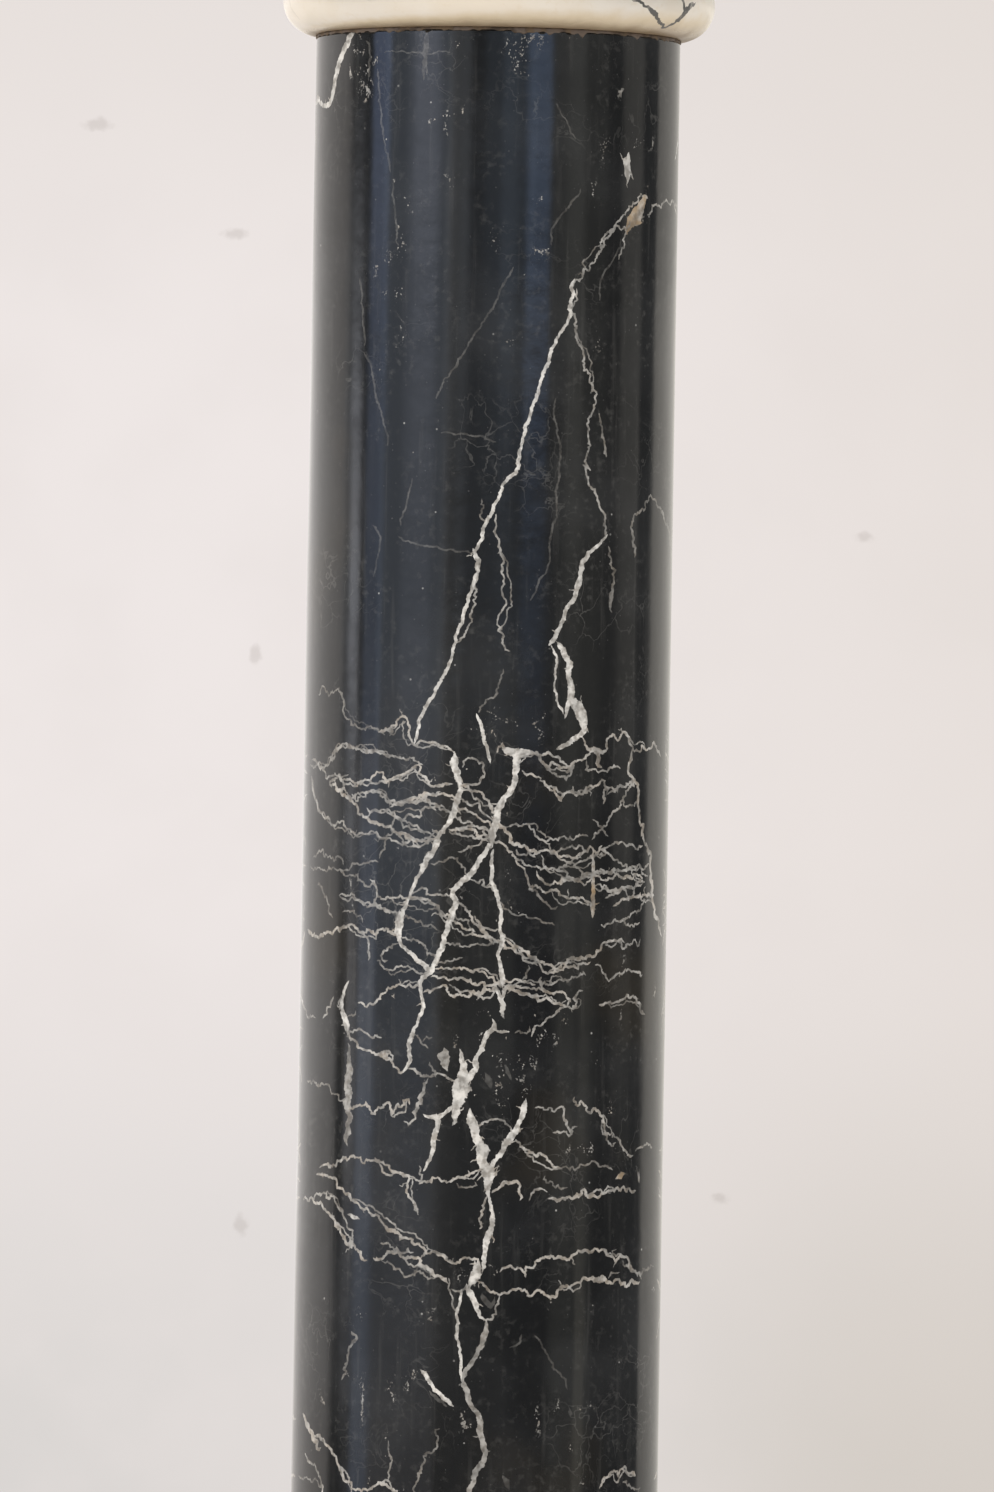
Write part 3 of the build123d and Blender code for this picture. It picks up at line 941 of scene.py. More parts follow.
@dataclass
class Grower:
    """Grows veins like the photographed ones where the photograph doesn't show the stone.

    The photographed veins keep an angle either side of the front, from a length along the profile upward.
    step is the longest run that is left whole.
    """

    skin: Skin
    seed: int
    shown_angle: float
    shown_from: float
    step: float = 4.6 * MM

    def __post_init__(self) -> None:
        """Starts the growth's own source of random draws."""
        self.rng = random.Random(self.seed)

    def free(self, u: float, v: float) -> bool:
        """Whether a grown vein may pass here."""
        turn = abs((u / self.skin.girth) % 1.0 - 0.5) * 2 * math.pi
        return turn > self.shown_angle or v < self.shown_from

    def wander(self, start: Point, heading: float, length: float, half: float, tone: Tone,
               swing: float, forks: float, depth: int = 0) -> None:
        """Grows one vein and its forks.

        Args:
            start: Where it starts on the flat skin.
            heading: Direction in radians that it keeps to, 0 being round the stone and pi / 2 upward.
            length: How far it runs.
            half: Half width at its start.
            tone: How strong and warm it is.
            swing: How much it turns at each run.
            forks: Chance of a fork at each run.
            depth: How many forks lie between it and a trunk.
        """
        rng = self.rng
        line = [start]
        widths = [half]
        course = heading
        gone = 0.0
        while gone < length:
            run = rng.uniform(4.0, 11.0) * MM
            course = heading + (course - heading) * 0.55 + rng.gauss(0.0, swing)
            u = line[-1][0] + math.cos(course) * run
            v = line[-1][1] + math.sin(course) * run
            if not self.free(u, v) or not 0 < v < self.skin.profile.length:
                break
            line.append((u, v))
            widths.append(half * rng.uniform(0.6, 1.4) * (1 - 0.45 * gone / length))
            gone += run
            if depth < 3 and rng.random() < forks:
                turned = course + rng.choice((-1, 1)) * rng.uniform(0.5, 1.2)
                self.wander((u, v), turned, length * rng.uniform(0.1, 0.3), half * rng.uniform(0.45, 0.8),
                            WEAKER.get(tone, tone), swing, forks, depth + 1)
        if len(line) > 1:
            self.skin.draw(line, widths, tone, 0.14, self.step)

    def scatter(self, veins: int, margin: float, longest: float, half: float, tones: tuple,
                swing: float) -> None:
        """Grows loose fine veins anywhere that is free.

        Args:
            veins: How many are tried.
            margin: How far they start from the skin's lower and upper end.
            longest: Greatest length, the least being 20 mm.
            half: Half width at their start.
            tones: Tones to choose from.
            swing: How much they turn at each run.
        """
        rng = self.rng
        for _ in range(veins):
            start = (rng.uniform(0, self.skin.girth), rng.uniform(margin, self.skin.profile.length - margin))
            if self.free(*start):
                self.wander(start, rng.uniform(0, 2 * math.pi), rng.uniform(20 * MM, longest), half,
                            rng.choice(tones), swing, 0.2, 1)

    def band(self, start: Point, length: float, strands: int, gap: float, sense: int) -> None:
        """Grows a level band of thin strands with rungs between them.

        Args:
            start: Where its lowest strand starts.
            length: How far it runs round the stone.
            strands: How many strands it has.
            gap: Distance between strands.
            sense: 1 to run to the right, -1 to the left.
        """
        rng = self.rng
        heading = 0.0 if sense > 0 else math.pi
        for strand in range(strands):
            foot = (start[0], start[1] + strand * gap * rng.uniform(0.8, 1.2))
            tone = rng.choice((Tone.CREAM, Tone.GREY, Tone.GREY, Tone.DIM))
            self.wander(foot, heading + rng.gauss(0.0, 0.12), length * rng.uniform(0.5, 1.1),
                        rng.uniform(0.4, 0.65) * MM, tone, 0.55, 0.14, 2)
            rung = (start[0] + sense * length * rng.uniform(0.05, 0.9), foot[1])
            if self.free(*rung):
                upward = math.pi / 2 + rng.gauss(0.0, 0.5)
                self.wander(rung, upward, gap * 2.5, 0.5 * MM, Tone.GREY, 0.4, 0.1, 3)


class Recipe:
    """A material or world whose nodes are added by short calls."""

    def __init__(self, owner: bpy.types.ID, place: str = "Object") -> None:
        """Opens the node tree.

        Args:
            owner: The material or world that has the tree.
            place: Which coordinates its textures use.
        """
        owner.use_nodes = True
        self.owner = owner
        self.tree = owner.node_tree
        self.shader = self.tree.nodes.get("Principled BSDF") or self.tree.nodes["Background"]
        self.place = self.add("ShaderNodeTexCoord").outputs[place]

    def add(self, kind: str, **settings: object) -> bpy.types.Node:
        """Adds a node and sets its options."""
        node = self.tree.nodes.new(kind)
        for key, value in settings.items():
            setattr(node, key, value)
        return node

    def feed(self, socket: bpy.types.NodeSocket, value: object) -> None:
        """Links a socket to another, or sets its value."""
        if isinstance(value, bpy.types.NodeSocket):
            self.tree.links.new(value, socket)
        elif isinstance(value, tuple) and len(value) == 3 and socket.type == "RGBA":
            socket.default_value = (*value, 1.0)
        else:
            socket.default_value = value

    def noise(self, scale: float, detail: float = 4.0, place: object = None, part: str = "Fac") -> object:
        """Value or colour of a cloudy noise, from 0 to 1, at a scale per metre."""
        node = self.add("ShaderNodeTexNoise")
        self.feed(node.inputs["Vector"], place or self.place)
        self.feed(node.inputs["Scale"], scale)
        self.feed(node.inputs["Detail"], detail)
        return node.outputs[part]

    def stretched(self, scale: Colour) -> object:
        """The place, scaled by its own factor along each axis."""
        node = self.add("ShaderNodeMapping")
        self.feed(node.inputs["Vector"], self.place)
        node.inputs["Scale"].default_value = scale
        return node.outputs["Vector"]

    def strayed(self, scale: float, reach: float, place: object = None) -> object:
        """The place, moved about by a coloured noise."""
        centred = self.add("ShaderNodeVectorMath", operation="SUBTRACT")
        self.feed(centred.inputs[0], self.noise(scale, 3.0, place, "Color"))
        centred.inputs[1].default_value = (0.5, 0.5, 0.5)
        moved = self.add("ShaderNodeVectorMath", operation="MULTIPLY_ADD")
        self.feed(moved.inputs[0], centred.outputs["Vector"])
        moved.inputs[1].default_value = (reach, reach, reach)
        self.feed(moved.inputs[2], place or self.place)
        return moved.outputs["Vector"]

    def cells(self, scale: float, feature: str, place: object = None) -> bpy.types.Node:
        """A node of random cells, at a scale per metre."""
        node = self.add("ShaderNodeTexVoronoi", feature=feature)
        self.feed(node.inputs["Vector"], place or self.place)
        self.feed(node.inputs["Scale"], scale)
        return node

    def maths(self, operation: str, first: object, second: object = 0.0, third: object = 0.0) -> object:
        """Result of one arithmetic step."""
        node = self.add("ShaderNodeMath", operation=operation)
        for socket, value in zip(node.inputs, (first, second, third)):
            self.feed(socket, value)
        return node.outputs[0]

    def span(self, value: object, low: float, high: float, start: float = 0.0, end: float = 1.0) -> object:
        """A smooth step of a value between two bounds."""
        node = self.add("ShaderNodeMapRange", interpolation_type="SMOOTHSTEP")
        for socket, part in zip(node.inputs, (value, low, high, start, end)):
            self.feed(socket, part)
        return node.outputs[0]

    def times(self, first: object, second: object) -> object:
        """Product of two values."""
        return self.maths("MULTIPLY", first, second)

    def mixed(self, share: object, first: object, second: object, blend: str = "MIX") -> object:
        """Colour between two colours, or the first with a share of the second added."""
        node = self.add("ShaderNodeMix", data_type="RGBA", blend_type=blend)
        for socket, value in zip((0, 6, 7), (share, first, second)):
            self.feed(node.inputs[socket], value)
        return node.outputs[2]

    def dress(self, socket: str, value: object) -> None:
        """Links one of the shader's own sockets, or sets its value."""
        self.feed(self.shader.inputs[socket], value)

    def bump(self, height: object, distance: float, strength: float = 1.0) -> None:
        """Raises the surface by a height, after any bump that is already there."""
        node = self.add("ShaderNodeBump")
        if self.shader.inputs["Normal"].links:
            self.feed(node.inputs["Normal"], self.shader.inputs["Normal"].links[0].from_socket)
        self.feed(node.inputs["Height"], height)
        node.inputs["Distance"].default_value = distance
        node.inputs["Strength"].default_value = strength
        self.feed(self.shader.inputs["Normal"], node.outputs["Normal"])

    def relief(self, layers: tuple) -> None:
        """Adds bumps of noise, each with its scale, detail, height in millimetres and strength."""
        for scale, detail, height, strength in layers:
            self.bump(self.noise(scale, detail), height * MM, strength)

    def marks(self) -> tuple[object, object, object, object]:
        """The drawn veins: share, strength and warmth, and how much brown stain and painted shade the stone
        has.
        """
        node = self.add("ShaderNodeAttribute", attribute_name="vein")
        parts = self.add("ShaderNodeSeparateColor")
        self.feed(parts.inputs[0], node.outputs["Color"])
        return (*parts.outputs, node.outputs["Alpha"])


@dataclass(frozen=True)
class BlackMarble:
    """Polished black marble with white, cream and tan veins, hairlines, specks and fine scratches."""

    name: str = "black_marble"
    drawn: bool = True
    ground: Colour = (0.0068, 0.0069, 0.0074)
    cloud: Colour = (0.021, 0.0213, 0.0222)
    earth: Colour = (0.027, 0.021, 0.013)
    pale: Colour = (0.87, 0.85, 0.81)
    smoke: Colour = (0.40, 0.385, 0.36)
    tan: Colour = (0.52, 0.36, 0.20)
    polish: float = 0.10
    waves: tuple = ((38.0, 2.0, 0.25, 0.5), (105.0, 4.0, 0.12, 0.4), (1400.0, 2.0, 0.02, 0.12))

    def _ground(self, mix: Recipe) -> object:
        """Colour of the stone between its veins."""
        clouds = mix.span(mix.noise(16.0, 6.0, mix.strayed(9.0, 0.05)), 0.42, 0.72)
        base = mix.mixed(clouds, self.ground, self.cloud)
        brown = mix.span(mix.noise(11.0, 3.0), 0.55, 0.75, 0.0, 0.55)
        base = mix.mixed(brown, base, self.earth)
        bent = mix.strayed(140.0, 0.012, mix.strayed(25.0, 0.04))
        threads = mix.cells(75.0, "DISTANCE_TO_EDGE", bent).outputs["Distance"]
        patches = mix.span(mix.noise(17.0, 4.0), 0.5, 0.68, 0.0, 0.15)
        hairline = mix.times(mix.span(threads, 0.0, 0.03, 1.0, 0.0), patches)
        base = mix.mixed(hairline, base, self.smoke)
        haze = mix.times(mix.span(mix.noise(330.0, 9.0), 0.5, 0.85, 0.0, 0.11),
                          mix.span(mix.noise(38.0, 5.0), 0.4, 0.65, 0.1, 1.0))
        base = mix.mixed(haze, base, self.smoke)
        rubbed = mix.noise(260.0, 4.0, mix.stretched((1.0, 1.0, 0.06)))
        base = mix.mixed(mix.span(rubbed, 0.56, 0.8, 0.0, 0.05), base, self.smoke)
        base = mix.mixed(self._specks(mix, 210.0, 0.94, 0.14, 0.5), base, self.pale)
        return mix.mixed(self._specks(mix, 560.0, 0.86, 0.18, 0.08), base, self.pale)

    def _specks(self, mix: Recipe, scale: float, rarity: float, size: float, strength: float) -> object:
        """Share of small pale specks.

        Args:
            mix: The material.
            scale: Cells per metre that may hold a speck.
            rarity: Share of the cells that hold none.
            size: Radius of a speck as a share of its cell.
            strength: Share at the middle of the strongest.

        Returns:
            The share of speck.
        """
        grains = mix.cells(scale, "F1")
        parts = mix.add("ShaderNodeSeparateColor")
        mix.feed(parts.inputs[0], grains.outputs["Color"])
        chosen = mix.span(parts.outputs[0], rarity, min(1.0, rarity + 0.1), 0.0, strength)
        return mix.times(mix.span(grains.outputs["Distance"], size * 0.4, size, 1.0, 0.0), chosen)

    def _drawn_veins(self, mix: Recipe) -> tuple[object, object]:
        """Share of vein from the skin's marks, and its warmth."""
        share, strength, warmth, _ = mix.marks()
        fine = mix.maths("MULTIPLY_ADD", mix.noise(1100.0, 5.0), 1.5, -1.15)
        ragged = mix.maths("MULTIPLY_ADD", mix.noise(360.0, 4.0), 0.8, fine)
        edge = mix.span(mix.maths("ADD", share, ragged), 0.3, 0.46)
        edge = mix.times(edge, mix.span(share, 0.0, 0.1))
        patch = mix.span(mix.noise(150.0, 6.0), 0.34, 0.62, 0.5, 1.0)
        kept = mix.maths("MAXIMUM", patch, mix.span(strength, 0.75, 1.0, 0.0, 0.8))
        opaque = mix.times(mix.times(edge, strength), kept)
        return opaque, warmth

    def _grown_veins(self, mix: Recipe) -> tuple[object, object]:
        """Share of vein in a block, from bent cracks through it, and its warmth."""
        bent = mix.strayed(60.0, 0.014, mix.strayed(8.0, 0.09))
        trunks = mix.cells(9.0, "DISTANCE_TO_EDGE", bent).outputs["Distance"]
        width = mix.span(mix.noise(13.0, 3.0), 0.35, 0.75, 0.001, 0.013)
        bright = mix.maths("LESS_THAN", trunks, width)
        web = mix.cells(27.0, "DISTANCE_TO_EDGE", bent).outputs["Distance"]
        thin = mix.span(mix.noise(15.0, 4.0), 0.48, 0.7, 0.0, 0.026)
        fine = mix.times(mix.maths("LESS_THAN", web, thin), 0.6)
        patch = mix.span(mix.noise(120.0, 5.0), 0.34, 0.6, 0.5, 1.0)
        return mix.times(mix.maths("MAXIMUM", bright, fine), patch), mix.noise(20.0)

    def mixed_stone(self) -> bpy.types.Material:
        """Makes the material."""
        mix = Recipe(bpy.data.materials.new(self.name))
        opaque, warmth = self._drawn_veins(mix) if self.drawn else self._grown_veins(mix)
        milk = mix.mixed(mix.span(mix.noise(380.0, 6.0), 0.36, 0.6), self.smoke, self.pale)
        warm = mix.times(warmth, mix.span(mix.noise(180.0, 4.0), 0.35, 0.65, 0.35, 1.0))
        vein = mix.mixed(warm, milk, self.tan)
        colour = mix.mixed(opaque, self._ground(mix), vein)
        mix.dress("Base Color", colour)
        smears = mix.span(mix.noise(14.0, 5.0, mix.stretched((1.0, 1.0, 0.35))), 0.35, 0.75,
                             self.polish * 0.8, self.polish * 2.0)
        mix.dress("Roughness", mix.maths("MULTIPLY_ADD", opaque, 0.12, smears))
        mix.relief(self.waves)
        mix.bump(opaque, 0.03 * MM, 0.35)
        return mix.owner


@dataclass(frozen=True)
class IvoryMarble:
    """Polished ivory marble, softly mottled, with a few slate veins, and brown stain and painted shade beside
    its joints.
    """

    name: str = "ivory_marble"
    cream: Colour = (0.88, 0.785, 0.655)
    milk: Colour = (0.92, 0.855, 0.765)
    honey: Colour = (0.79, 0.66, 0.47)
    slate: Colour = (0.040, 0.044, 0.048)
    # Colour of the brown stain and painted shade beside the joints.
    stain_and_shade: Colour = (0.26, 0.165, 0.085)
    polish: float = 0.16
    waves: tuple = ((34.0, 2.0, 0.25, 0.12), (900.0, 3.0, 0.02, 0.15))

    def mixed_stone(self) -> bpy.types.Material:
        """Makes the material."""
        mix = Recipe(bpy.data.materials.new(self.name))
        share, strength, _, stained_and_shaded = mix.marks()
        clouds = mix.span(mix.noise(22.0, 5.0, mix.strayed(12.0, 0.04)), 0.35, 0.68)
        base = mix.mixed(clouds, self.cream, self.milk)
        flecks = mix.span(mix.noise(300.0, 5.0), 0.56, 0.72, 0.0, 0.22)
        base = mix.mixed(flecks, base, self.honey)
        ragged = mix.maths("MULTIPLY_ADD", mix.noise(700.0, 4.0), 0.9, -0.45)
        edge = mix.span(mix.maths("ADD", share, ragged), 0.15, 0.6)
        edge = mix.times(edge, mix.span(share, 0.0, 0.12))
        patch = mix.span(mix.noise(210.0, 5.0), 0.3, 0.5, 0.6, 1.0)
        vein = mix.times(mix.times(edge, strength), patch)
        # Beside the joints the stone is warmer and darker: partly a real brown stain, partly painted shade
        # under the ring's nose.
        spread = mix.maths("MULTIPLY_ADD", mix.noise(85.0, 5.0), 0.36, -0.18)
        dark = mix.span(mix.maths("ADD", stained_and_shaded, spread), 0.5, 1.0, 0.0, 0.75)
        warm = mix.span(mix.maths("ADD", stained_and_shaded, spread), 0.25, 0.6)
        base = mix.mixed(warm, base, self.honey)
        base = mix.mixed(vein, mix.mixed(dark, base, self.stain_and_shade), self.slate)
        mix.dress("Base Color", base)
        smears = mix.span(mix.noise(30.0, 4.0), 0.35, 0.7, self.polish * 0.7, self.polish * 1.6)
        mix.dress("Roughness", mix.maths("MULTIPLY_ADD", dark, 0.35, smears))
        mix.relief(self.waves)
        return mix.owner


@dataclass(frozen=True)
class BrownResin:
    """Dull brown setting resin with pinkish grey residue on its lumps."""

    name: str = "brown_resin"
    dark: Colour = (0.060, 0.041, 0.028)
    light: Colour = (0.155, 0.108, 0.068)
    residue: Colour = (0.150, 0.115, 0.092)
    gloss: float = 0.3

    def mixed_resin(self) -> bpy.types.Material:
        """Makes the material."""
        mix = Recipe(bpy.data.materials.new(self.name))
        share, _, _, _ = mix.marks()
        lumps = mix.span(mix.noise(240.0, 5.0), 0.35, 0.65)
        base = mix.mixed(lumps, self.dark, self.light)
        crust = mix.maths("ADD", share, mix.maths("MULTIPLY_ADD", mix.noise(420.0, 5.0), 1.2, -0.6))
        base = mix.mixed(mix.span(crust, 0.35, 0.75, 0.0, 0.85), base, self.residue)
        mix.dress("Base Color", base)
        mix.dress("Roughness", mix.span(lumps, 0.0, 1.0, 0.5, 0.8))
        mix.relief(((500.0, 5.0, 0.25, 0.6),))
        mix.dress("Specular IOR Level", self.gloss)
        return mix.owner


@dataclass(frozen=True)
class DowelIron:
    """Plain iron bar with a dark scale and a little rust."""

    name: str = "dowel_iron"
    scale: Colour = (0.075, 0.072, 0.070)
    rust: Colour = (0.20, 0.085, 0.038)

    def mixed_iron(self) -> bpy.types.Material:
        """Makes the material."""
        mix = Recipe(bpy.data.materials.new(self.name))
        patches = mix.span(mix.noise(90.0, 6.0), 0.45, 0.7)
        mix.dress("Base Color", mix.mixed(patches, self.scale, self.rust))
        mix.dress("Roughness", mix.span(patches, 0.0, 1.0, 0.42, 0.85))
        mix.dress("Metallic", mix.span(patches, 0.0, 1.0, 0.85, 0.1))
        mix.relief(((700.0, 4.0, 0.1, 0.5),))
        return mix.owner


@dataclass
class Turning:
    """What the turned stones share: their place in the frame and the bore of the dowel holes."""

    node: str
    dowel: str = "base_dowel"
    dowel_gap: float = 0.3 * MM
    hole_depth: float = 60 * MM

    def __post_init__(self) -> None:
        """Reads the stone's place from the frame."""
        low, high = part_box(self.node)
        self.foot = low.z
        self.head = high.z
        self.girth_radius = high.x
        self.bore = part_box(self.dowel)[1].x + self.dowel_gap

    def keep(self, piece: Piece, slot: str, material: bpy.types.Material) -> None:
        """Dresses a piece and lets it stand for its node."""
        piece.data.materials.append(material)
        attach(piece, "root")
        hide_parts(self.node)
        LOG.info("%s: %d points, %d faces", piece.name, len(piece.data.vertices), len(piece.data.polygons))


def trace(skin: Skin, groups: tuple, shaft: bool, kink: float, splits: float = 0.0, share: float = 1.0,
          barbs: bool = False) -> None:
    """Draws photographed veins on a skin.

    Args:
        skin: The skin of the stone.
        groups: Tone, width in pixels and lines of pixels of each group of veins.
        shaft: True for the shaft, whose width in the photograph was measured, False for a ring.
        kink: How far the veins stray between their points.
        splits: How many thinner strands leave each long thin vein and join it again, on the average.
        share: What share of its given width each vein gets.
        barbs: Whether wide veins get short barbs.
    """
    profile = skin.profile
    for tone, width, lines in groups:
        for line in lines:
            flat = []
            scale = []
            for x, y, *own in line:
                radius = float(profile.radii.max())
                for _ in range(NEARER_TRIES):
                    seen = 0.0 if shaft else radius * PHOTO.focal_pixels / PHOTO.eye_distance
                    angle = PHOTO.angle(x, y, seen)
                    height = PHOTO.height(x, y, angle, radius)
                    radius += 0.5 * (float(np.interp(height, profile.heights, profile.radii)) - radius)
                flat.append(skin.spot(angle, height))
                pixel = (PHOTO.eye_distance - radius * math.cos(angle)) / PHOTO.focal_pixels
                scale.append((pixel * (own[0] if own else width) / 2 * share, min(2.5, 1 / math.cos(angle))))
            steep = np.abs(np.gradient(np.array(flat), axis=0))
            rise = steep[:, 1] / np.maximum(steep.sum(axis=1), 1e-9)
            halves = [half * (1 + (wider - 1) * up) for (half, wider), up in zip(scale, rise)]
            skin.draw(flat, halves, tone, kink * (0.4 if tone is Tone.FAINT else 1.0))
            if barbs:
                skin.fray(flat, halves, tone)
            slim = len(line) > 7 and sum(halves) / len(halves) < 1.1 * MM
            for _ in range(int(splits + skin.rng.random()) if slim else 0):
                skin.split(flat, halves, WEAKER.get(tone, tone), 3.2 * MM)


@dataclass
class Shaft(Turning):
    """The black shaft, which tapers to its head and has softly rounded arrises.

    left_rows and right_rows give the pixel rows at which veins pass out of view round the side, and their half
    widths in millimetres. foot_columns does so for the veins that run off the photograph's foot. back_trunks
    gives the veins down the back: angle in degrees, height of the top, length, and half width in millimetres.
    """

    node: str = "shaft"
    ring: str = "collar_ring"
    arris: float = 0.8 * MM
    columns: int = 120
    row_step: float = 10.0 * MM
    shown_angle: float = math.radians(76)
    shown_from: float = 0.300
    left_rows: tuple = ((103, 1.0), (848, 0.6), (868, 0.6), (934, 0.9), (1006, 0.6), (1083, 0.5), (1166, 0.7),
                        (1199, 0.9), (1420, 0.8), (1477, 0.7))
    right_rows: tuple = ((205, 0.6), (750, 0.7), (866, 0.6), (905, 0.6), (941, 0.7), (1012, 0.7), (1146, 0.6),
                         (1190, 0.9), (1275, 0.9), (1474, 0.7))
    foot_columns: tuple = ((466, 1.15), (415, 0.6), (396, 0.8), (351, 0.7), (322, 0.6), (600, 0.7))
    foot_row: float = 1490.0
    edge_angle: float = math.radians(77.5)
    edge_column: float = 497.0
    foot_band_angle: float = 0.1
    back_trunks: tuple = ((-108, 0.925, 0.55, 1.1), (-150, 0.70, 0.5, 1.5), (178, 0.93, 0.62, 1.2),
                          (142, 0.60, 0.42, 1.4), (104, 0.93, 0.5, 1.0), (-128, 0.36, 0.26, 1.2),
                          (96, 0.42, 0.3, 1.1), (-178, 0.34, 0.22, 1.5), (40, 0.292, 0.18, 0.9))
    band_heights: tuple = (0.60, 0.545, 0.49, 0.43, 0.25, 0.16)
    band_strands: int = 3
    band_gap: float = 8 * MM
    loose_veins: int = 12
    seed: int = 5
    growth_seed: int = 23

    def outline(self) -> Profile:
        """Outline of the skin from the foot joint to the head joint."""
        ring_low, ring_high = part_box(self.ring)
        self.head_radius = ring_high.x - (ring_high.z - ring_low.z) / 2
        foot = arc((self.girth_radius - self.arris, self.foot + self.arris), self.arris, -90, 0, 3)
        head = arc((self.head_radius - self.arris, self.head - self.arris), self.arris, 0, 90, 3)
        (r0, z0), (r1, z1) = foot[-1], head[0]
        side = [(r0 + (r1 - r0) * share, z0 + (z1 - z0) * share) for share in (0.001, 0.999)]
        return Profile(foot + side + head, self.row_step)

    def grow(self, skin: Skin) -> None:
        """Carries the photographed veins on round the back and down to the foot."""
        profile = skin.profile
        grower = Grower(skin, self.growth_seed, self.shown_angle, profile.along(self.shown_from))
        rng = grower.rng
        up = math.pi / 2
        for rows, sense in ((self.left_rows, -1), (self.right_rows, 1)):
            for row, half in rows:
                height = PHOTO.height(self.edge_column, row, up, self.girth_radius)
                start = skin.spot(sense * self.edge_angle, height)
                heading = up * (1 - sense) + rng.gauss(0.0, 0.2)
                grower.wander(start, heading, rng.uniform(0.05, 0.13), half * MM, Tone.CREAM, 0.5, 0.12)
        below = profile.along(self.shown_from) - 1 * MM
        for column, half in self.foot_columns:
            start = (skin.spot(PHOTO.angle(column, self.foot_row), 0.0)[0], below)
            grower.wander(start, rng.gauss(0.0, 0.15) - up, 0.24, half * MM, Tone.WHITE, 0.4, 0.08)
        for angle, top, length, half in self.back_trunks:
            start = skin.spot(math.radians(angle), top)
            grower.wander(start, rng.gauss(0.0, 0.18) - up, length, half * MM, Tone.WHITE, 0.36, 0.06)
        for height in self.band_heights:
            for sense in (-1, 1):
                angle = self.foot_band_angle if height < self.shown_from else self.edge_angle
                start = skin.spot(sense * angle, height)
                grower.band(start, rng.uniform(0.08, 0.13), self.band_strands, self.band_gap, sense)
        grower.scatter(self.loose_veins, 20 * MM, 70 * MM, 0.5 * MM, (Tone.DIM, Tone.FAINT), 0.4)

    def build(self, stone: bpy.types.Material) -> None:
        """Builds and dresses the shaft, with each speck drawn as a very short vein."""
        skin = Skin(self.outline(), self.columns, self.seed)
        rng = skin.rng
        trace(skin, TRUNKS, True, kink=0.09, splits=0.2, share=0.88, barbs=True)
        trace(skin, WEB, True, kink=0.22, splits=0.9, share=0.76)
        spots = [(rng.gauss(x, wide), rng.gauss(y, high))
                 for x, y, wide, high, count in DUST for _ in range(count)]
        for x, y in list(SPECKS) + spots:
            lean = rng.uniform(-0.2, 0.2)
            half = rng.uniform(0.2, 0.5)
            speck = ((x - lean, y - half), (x, y), (x + lean, y + half))
            trace(skin, ((rng.choice((Tone.CREAM, Tone.GREY)), rng.uniform(0.6, 1.8), (speck,)),), True, 0.0)
        self.grow(skin)
        foot_rim = (self.girth_radius - self.arris, self.foot)
        head_rim = (self.head_radius - self.arris, self.head)
        foot_hole = self.foot + self.hole_depth
        head_hole = self.head - self.hole_depth
        cores = [[(0.0, foot_hole), (self.bore, foot_hole), (self.bore, self.foot), foot_rim],
                 [head_rim, (self.bore, self.head), (self.bore, head_hole), (0.0, head_hole)]]
        self.keep(skin.roll("shaft_stone", cores), "black_marble", stone)


@dataclass
class Ring(Turning):
    """An ivory ring whose whole edge is one half round."""

    node: str = "collar_ring"
    columns: int = 144
    row_step: float = 3.0 * MM
    flat: float = 4.0 * MM
    nose_parts: int = 22
    # How far the brown stain and painted shade reach from a joint.
    stain_and_shade_reach: float = 12.0 * MM
    seed: int = 7
    photographed: bool = True
    shown_angle: float = math.radians(80)
    loose_veins: int = 9

    def build(self, stone: bpy.types.Material) -> None:
        """Builds and dresses the ring."""
        nose = (self.head - self.foot) / 2
        inner = self.girth_radius - nose
        low_rim = (inner - self.flat, self.foot)
        high_rim = (inner - self.flat, self.head)
        nose_arc = arc((inner, self.foot + nose), nose, -90, 90, self.nose_parts)
        profile = Profile([low_rim, *nose_arc, high_rim], self.row_step)
        skin = Skin(profile, self.columns, self.seed)
        if self.photographed:
            trace(skin, RING_VEINS, False, kink=0.2, share=0.9)
        grower = Grower(skin, self.seed, self.shown_angle if self.photographed else 0.0, 0.0)
        tones = (Tone.SLATE, Tone.FAINT, Tone.FAINT)
        grower.scatter(self.loose_veins, 10 * MM, 60 * MM, 0.45 * MM, tones, 0.5)
        core = [high_rim, (self.bore, self.head), (self.bore, self.foot), low_rim]
        piece = skin.roll(self.node + "_stone", [core])
        self.stain_and_shade(piece, inner)
        self.keep(piece, "ivory_marble", stone)

    def stain_and_shade(self, piece: Piece, inner: float) -> None:
        """Marks the brown stain and painted shade beside the ring's two joints.

        Args:
            piece: The ring.
            inner: Radius of its flat faces.
        """
        marks = piece.data.attributes["vein"].data
        for vertex, mark in zip(piece.data.vertices, marks):
            off_joint = math.hypot(vertex.co.x, vertex.co.y) - inner
            from_face = min(vertex.co.z - self.foot, self.head - vertex.co.z)
            reach = math.hypot(max(off_joint, 0.0) * 0.45, from_face)
            # Painted shade: the mark reaches half as far on the left, towards the key lamp, and half as far
            # again on the right.
            shaded = self.stain_and_shade_reach * (1 + 0.5 * vertex.co.x / self.girth_radius)
            mark.color[3] = max(0.0, 1 - reach / shaded)


